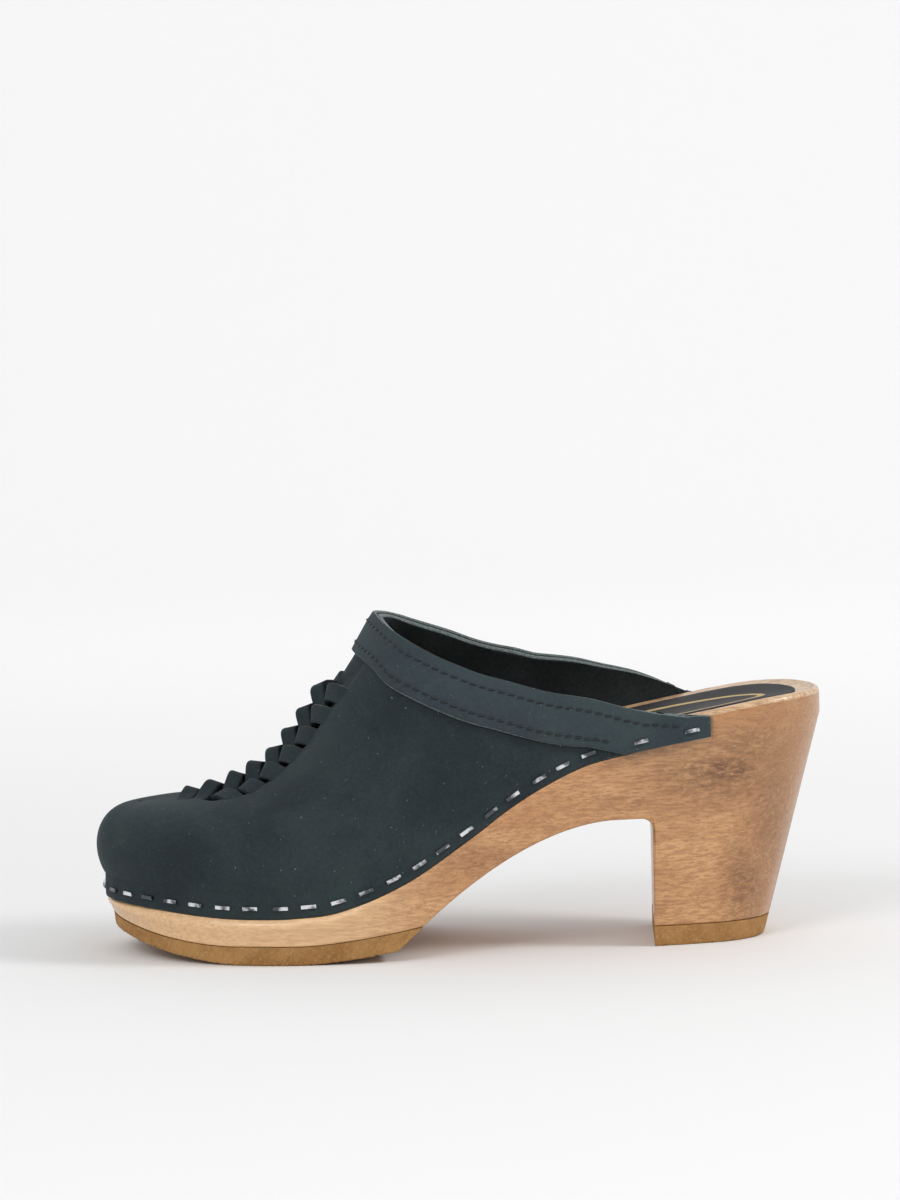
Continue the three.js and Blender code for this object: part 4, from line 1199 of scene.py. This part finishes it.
def strip(number, side):
    """One lacing strip: a flat bar carried along its slanting path, from its slit's end on its own side
    over the ridge to its tip on the other. Its width stays straight, square to the path, and tilts a
    little. How far it strays and tilts fades along the path by a bell curve."""
    sign = -1 if side == LATERAL else 1
    start = LACING_PITCH * (number + (0.5 if side == LATERAL else 0))
    own = lerp(STRIP_REACH, -STRIP_TIP, np.linspace(0, 1, STRIP_STEPS))
    wander = np.sin(number * 2.4 + 1.3 * sign)
    calm = min(1.0, 0.5 + 0.25 * number)  # the strips nearest the toe lie flatter
    lift = curve(STRIP_LIFT[side], own) + STRIP_STRAY * wander * np.exp(-((own + 1) ** 2) / 12)
    lift = 1 + calm * (lift - 1)
    middle, facing = laced_line(start + LACING_SLANT * own, sign * own, lift)
    ahead = unit(np.gradient(middle, axis=0))
    facing = unit(facing - ahead * (facing * ahead).sum(-1, keepdims=True))
    toeward = np.cross(ahead, facing)
    toeward = toeward * -np.sign(toeward[:, :1])
    most, where = STRIP_TILT[side]
    most = calm * (most + TILT_STRAY * wander)
    tilt = np.radians(most * np.exp(-((own - where) ** 2) / 30))[:, None]
    across = toeward * np.cos(tilt) + facing * np.sin(tilt)
    outwards = facing * np.cos(tilt) - toeward * np.sin(tilt)
    wide = np.interp(own, *np.transpose(STRIP_WIDENING))
    section = strip_section()
    grid = middle[:, None] + across[:, None] * (wide[:, None, None] * section[None, :, :1])
    grid = grid + outwards[:, None] * section[None, :, 1:]
    ends = [np.repeat(grid[i].mean(0, keepdims=True), grid.shape[1], axis=0)[None] for i in (0, -1)]
    return np.concatenate([ends[0], grid, ends[1]])


def lacing(materials):
    """The instep's lacing: strips cut from both sides of the upper, crossing over and under each other."""
    strips = [strip(number, MEDIAL) for number in range(STRIPS)]
    strips += [strip(number, LATERAL) for number in range(STRIPS - 1)]
    finish = np.zeros((len(strips), strips[0].shape[0] - 1, strips[0].shape[1] - 1))
    finish[STRIPS:, 1:-1, SECTION_EDGES] = 1
    piece = mesh_object("instep_lacing", strips, finishes=finish.ravel())
    sharp_by_angle(piece, 50)
    return finished(piece, materials, "nubuck", "upper")


# ---------------------------------------------------------------- collar


def collar_reach(side, x):
    return np.minimum(COLLAR_WIDTH, top_height(side, x) - ledge_height(x) - GAP)


def collar(side, x, down):
    """The last under the collar, at a distance down from the top edge's place x: the lower edge lies
    towards the toe by the slant, and the drop follows the ridge at the throat and the sides behind."""
    slant = curve(COLLAR_SLANT, x)
    low_x = x - slant * down
    on_ridge = ridge_height(x) - ridge_height(low_x)
    on_side = np.sqrt(1 - slant**2) * down
    drop = lerp(on_ridge, on_side, step(x, THROAT_X, THROAT_X + 9))
    climb = np.where(x <= THROAT_X + 1e-9, 1.0, climb_at(low_x, top_height(side, x) - drop))
    return last(side, low_x, climb)


COLLAR_ROWS = 16


def collar_band(materials):
    x = behind_throat(170)[:, None]
    grids = []
    for side in SIDES:
        down = np.linspace(1, 0, COLLAR_ROWS)[None, :] * collar_reach(side, x)
        grids.append(outward(side, collar(side, np.repeat(x, COLLAR_ROWS, axis=1), down)))
    piece = mesh_object("stitched_collar", grids, closed=False)
    pushed(piece, LEATHER + GAP)
    wall_of(piece, COLLAR_LEATHER, 0.4)
    return finished(piece, materials, "collar_nubuck", "collar_band")


STITCH_PITCH = 3.2
STITCH = (2.5, 0.8, 0.7)  # length, width and height
STITCH_SLOPE = 0.12  # how far a stitch turns from the seam's line
STITCH_PROUD = 0.12  # its middle above the collar's face
BEAD_RINGS = 6
BEAD_SIDES = 6


def seam_path(seam):
    """The seam's line on the last from one side's end over the throat to the other's, with its outward
    normals. The distance down is in centimetres in the surface whose normals are taken, so that both of its
    parameters step alike."""
    lines, facings = [], []
    for side in SIDES:
        x = behind_throat(800)
        down = np.full_like(x, seam)
        line = collar(side, x, down)
        turn = -1 if side == LATERAL else 1
        facing = normals(lambda u, v: collar(side, u, v * 10), x.clip(THROAT_X + 0.3), down / 10, turn)
        keep = line[:, 2] > ledge_height(line[:, 0]) + STAPLE_RISE + SEAM_CLEAR
        lines.append(line[keep])
        facings.append(facing[keep])
    line = np.concatenate([lines[0][::-1], lines[1][1:]])
    facing = np.concatenate([facings[0][::-1], facings[1][1:]])
    return line, unit(facing)


def bead():
    """One stitch: an ellipsoid with blunt ends, its places along, across and out."""
    length, width, height = STITCH
    rings = np.linspace(-np.pi / 2, np.pi / 2, BEAD_RINGS)[:, None]
    sides = np.linspace(0, 2 * np.pi, BEAD_SIDES + 1)
    along = np.sin(rings) * np.ones(BEAD_SIDES + 1) * length / 2
    across = np.sqrt(np.cos(rings)) * np.cos(sides) * width / 2
    out = np.sqrt(np.cos(rings)) * np.sin(sides) * height / 2
    return along[..., None], across[..., None], out[..., None]


def at_run(places, run, line):
    """Points of a line at distances along it."""
    return np.stack([np.interp(places, run, line[:, k]) for k in range(3)], -1)


def stitches(name, seam, material, node):
    """A row of stitches: a small bead stretched along the seam every few millimetres, turned a little, half
    sunk in the collar."""
    line, facing = seam_path(seam)
    run = distance_along(line)
    count = int(run[-1] / STITCH_PITCH)
    at = (np.arange(count) + 0.5) * run[-1] / count
    middle = at_run(at, run, line)
    out = unit(at_run(at, run, facing))
    ahead = at_run(at + 0.5, run, line) - at_run(at - 0.5, run, line)
    ahead = unit(ahead - out * (ahead * out).sum(-1, keepdims=True))
    side = np.cross(out, ahead)
    ahead = unit(ahead + STITCH_SLOPE * side)
    base = LEATHER + GAP + COLLAR_LEATHER + STITCH_PROUD
    a, b, c = bead()
    beads = [m + o * base + f * a + s * b + o * c for m, o, f, s in zip(middle, out, ahead, side)]
    piece = mesh_object(name, beads)
    return finished(piece, [material], "thread", node)


# ---------------------------------------------------------------- studio


FLOOR_NEAR = -4.0  # metres, as everything in the studio
FLOOR_FAR = 1.2
FLOOR_HALF_WIDTH = 6.0
BACKDROP_CURVE = 0.9
BACKDROP_HEIGHT = 4.0
WINDOW_WATTS = 14.0
FILL_WATTS = 10.0
SURROUND = 0.67


def floor_material():
    """A pale floor whose far part glows faintly, so that it meets the backdrop without a line."""
    material, nodes, shader = new_material("pale_floor")
    depth = nodes.add("ShaderNodeSeparateXYZ", {0: nodes.place()}).outputs["Y"]
    feed(nodes, shader, Base_Color=(0.86, 0.86, 0.86, 1), Roughness=0.9, Specular_IOR_Level=0.1)
    glow = nodes.mix(nodes.spread(depth, 0.05, 1.0, 0.0, 0.17), (0, 0, 0, 1), (1, 1, 1, 1))
    feed(nodes, shader, Emission_Color=glow, Emission_Strength=1.0)
    return material


def studio():
    """A pale floor that curves up into a pale backdrop."""
    turn = np.linspace(0, np.pi / 2, 24)
    bend = FLOOR_FAR + BACKDROP_CURVE * np.sin(turn)
    depth = np.concatenate([[FLOOR_NEAR], bend, [FLOOR_FAR + BACKDROP_CURVE]])
    rise = np.concatenate([[0.0], BACKDROP_CURVE * (1 - np.cos(turn)), [BACKDROP_HEIGHT]])
    across = np.array([-FLOOR_HALF_WIDTH, FLOOR_HALF_WIDTH])
    where = points(across, depth[:, None], rise[:, None]).reshape(-1, 3)
    mesh = bpy.data.meshes.new("floor")
    mesh.from_pydata(where.tolist(), [], cells(len(depth), 2, 0)[:, ::-1].tolist())
    mesh.polygons.foreach_set("use_smooth", np.ones(len(mesh.polygons), bool))
    mesh.materials.append(floor_material())
    floor = bpy.data.objects.new("floor", mesh)
    bpy.context.collection.objects.link(floor)


def area_light(name, place, size, watts):
    """A softbox aimed at the middle of the shoe."""
    light = bpy.data.lights.new(name, "AREA")
    light.shape = "RECTANGLE"
    light.size, light.size_y = size
    light.energy = watts
    lamp = bpy.data.objects.new(name, light)
    lamp.location = place
    lamp.rotation_euler = (Vector((0, 0, 0.05)) - Vector(place)).to_track_quat("-Z", "Y").to_euler()
    bpy.context.collection.objects.link(lamp)


def lights():
    """A softbox like a window from the heel side, a weaker one from the front, and an even pale surround."""
    area_light("window", (1.55, -0.45, 1.15), (0.5, 0.45), WINDOW_WATTS)
    area_light("fill", (-0.9, -1.4, 1.2), (0.9, 0.7), FILL_WATTS)
    world = bpy.data.worlds.new("surround")
    world.use_nodes = True
    background = world.node_tree.nodes["Background"]
    background.inputs["Color"].default_value = (1.0, 1.0, 1.0, 1)
    background.inputs["Strength"].default_value = SURROUND
    bpy.context.scene.world = world
    bpy.context.scene.view_settings.view_transform = "Standard"


CAMERA_TARGET = Vector((-0.001325, 0.0017, 0.1149))
CAMERA_DISTANCE = 2.0
CAMERA_AZIMUTH = 2.0
CAMERA_DOWN = 6.0
CAMERA_ROLL = 1.4
CAMERA_LENS = 179.4


def camera():
    """A long lens looking at the outer side, a little from above, rolled slightly."""
    azimuth, down, roll = (math.radians(v) for v in (CAMERA_AZIMUTH, CAMERA_DOWN, CAMERA_ROLL))
    flat = math.cos(down)
    ahead = Vector((math.sin(azimuth) * flat, math.cos(azimuth) * flat, -math.sin(down)))
    level = Vector((math.cos(azimuth), -math.sin(azimuth), 0))
    upright = level.cross(ahead)
    right = math.cos(roll) * level - math.sin(roll) * upright
    up = math.sin(roll) * level + math.cos(roll) * upright
    data = bpy.data.cameras.new("camera")
    data.lens = CAMERA_LENS
    data.sensor_width = 36
    data.sensor_fit = "AUTO"
    data.clip_end = 50
    view = bpy.data.objects.new("camera", data)
    turn = Matrix((right, up, -ahead)).transposed()
    view.matrix_world = Matrix.Translation(CAMERA_TARGET - ahead * CAMERA_DISTANCE) @ turn.to_4x4()
    bpy.context.collection.objects.link(view)
    bpy.context.scene.camera = view


# ---------------------------------------------------------------- assembly


def dress_cad(node, material):
    """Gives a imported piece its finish."""
    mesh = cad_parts[node].data
    mesh.materials.clear()
    mesh.materials.append(material)


def main():
    camera()
    studio()
    lights()
    alder = [alder_material("oiled_alder", 0.0), alder_material("bare_alder", 0.5)]
    crepe = crepe_material()
    face = nap_leather("navy_nubuck", rgb(37, 45, 49), rgb(53, 63, 64), 0.5, 0.25, 0.12)
    band = nap_leather("collar_nubuck", rgb(49, 57, 62), rgb(63, 74, 76), 0.4, 0.22, 0.14)
    flesh = nap_leather("black_suede", rgb(30, 34, 35), rgb(54, 59, 60), 0.3, 0.6, 0.08, 0.95)
    edge = cut_leather("raw_leather_edge", 1300, rgb(48, 58, 59), rgb(110, 123, 120), 0.25, 0.2)
    strip_edge = cut_leather("strip_cut_edge", 1100, rgb(58, 62, 60), rgb(170, 164, 148), 0.0, 0.5)
    wooden_sole(alder)
    forefoot_tread(crepe)
    heel_tread(crepe)
    heel_sock(sock_material())
    upper([face, flesh, edge])
    lacing([face, strip_edge])
    collar_band([band, flesh, edge])
    thread = thread_material()
    stitches("stitches_upper", UPPER_SEAM, thread, "collar_thread_upper")
    stitches("stitches_lower", LOWER_SEAM, thread, "collar_thread_lower")
    steel = steel_material()
    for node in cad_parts:
        if node.startswith("staple_"):
            dress_cad(node, steel)
    dress_cad("toe_puff", stiffener_material())


main()
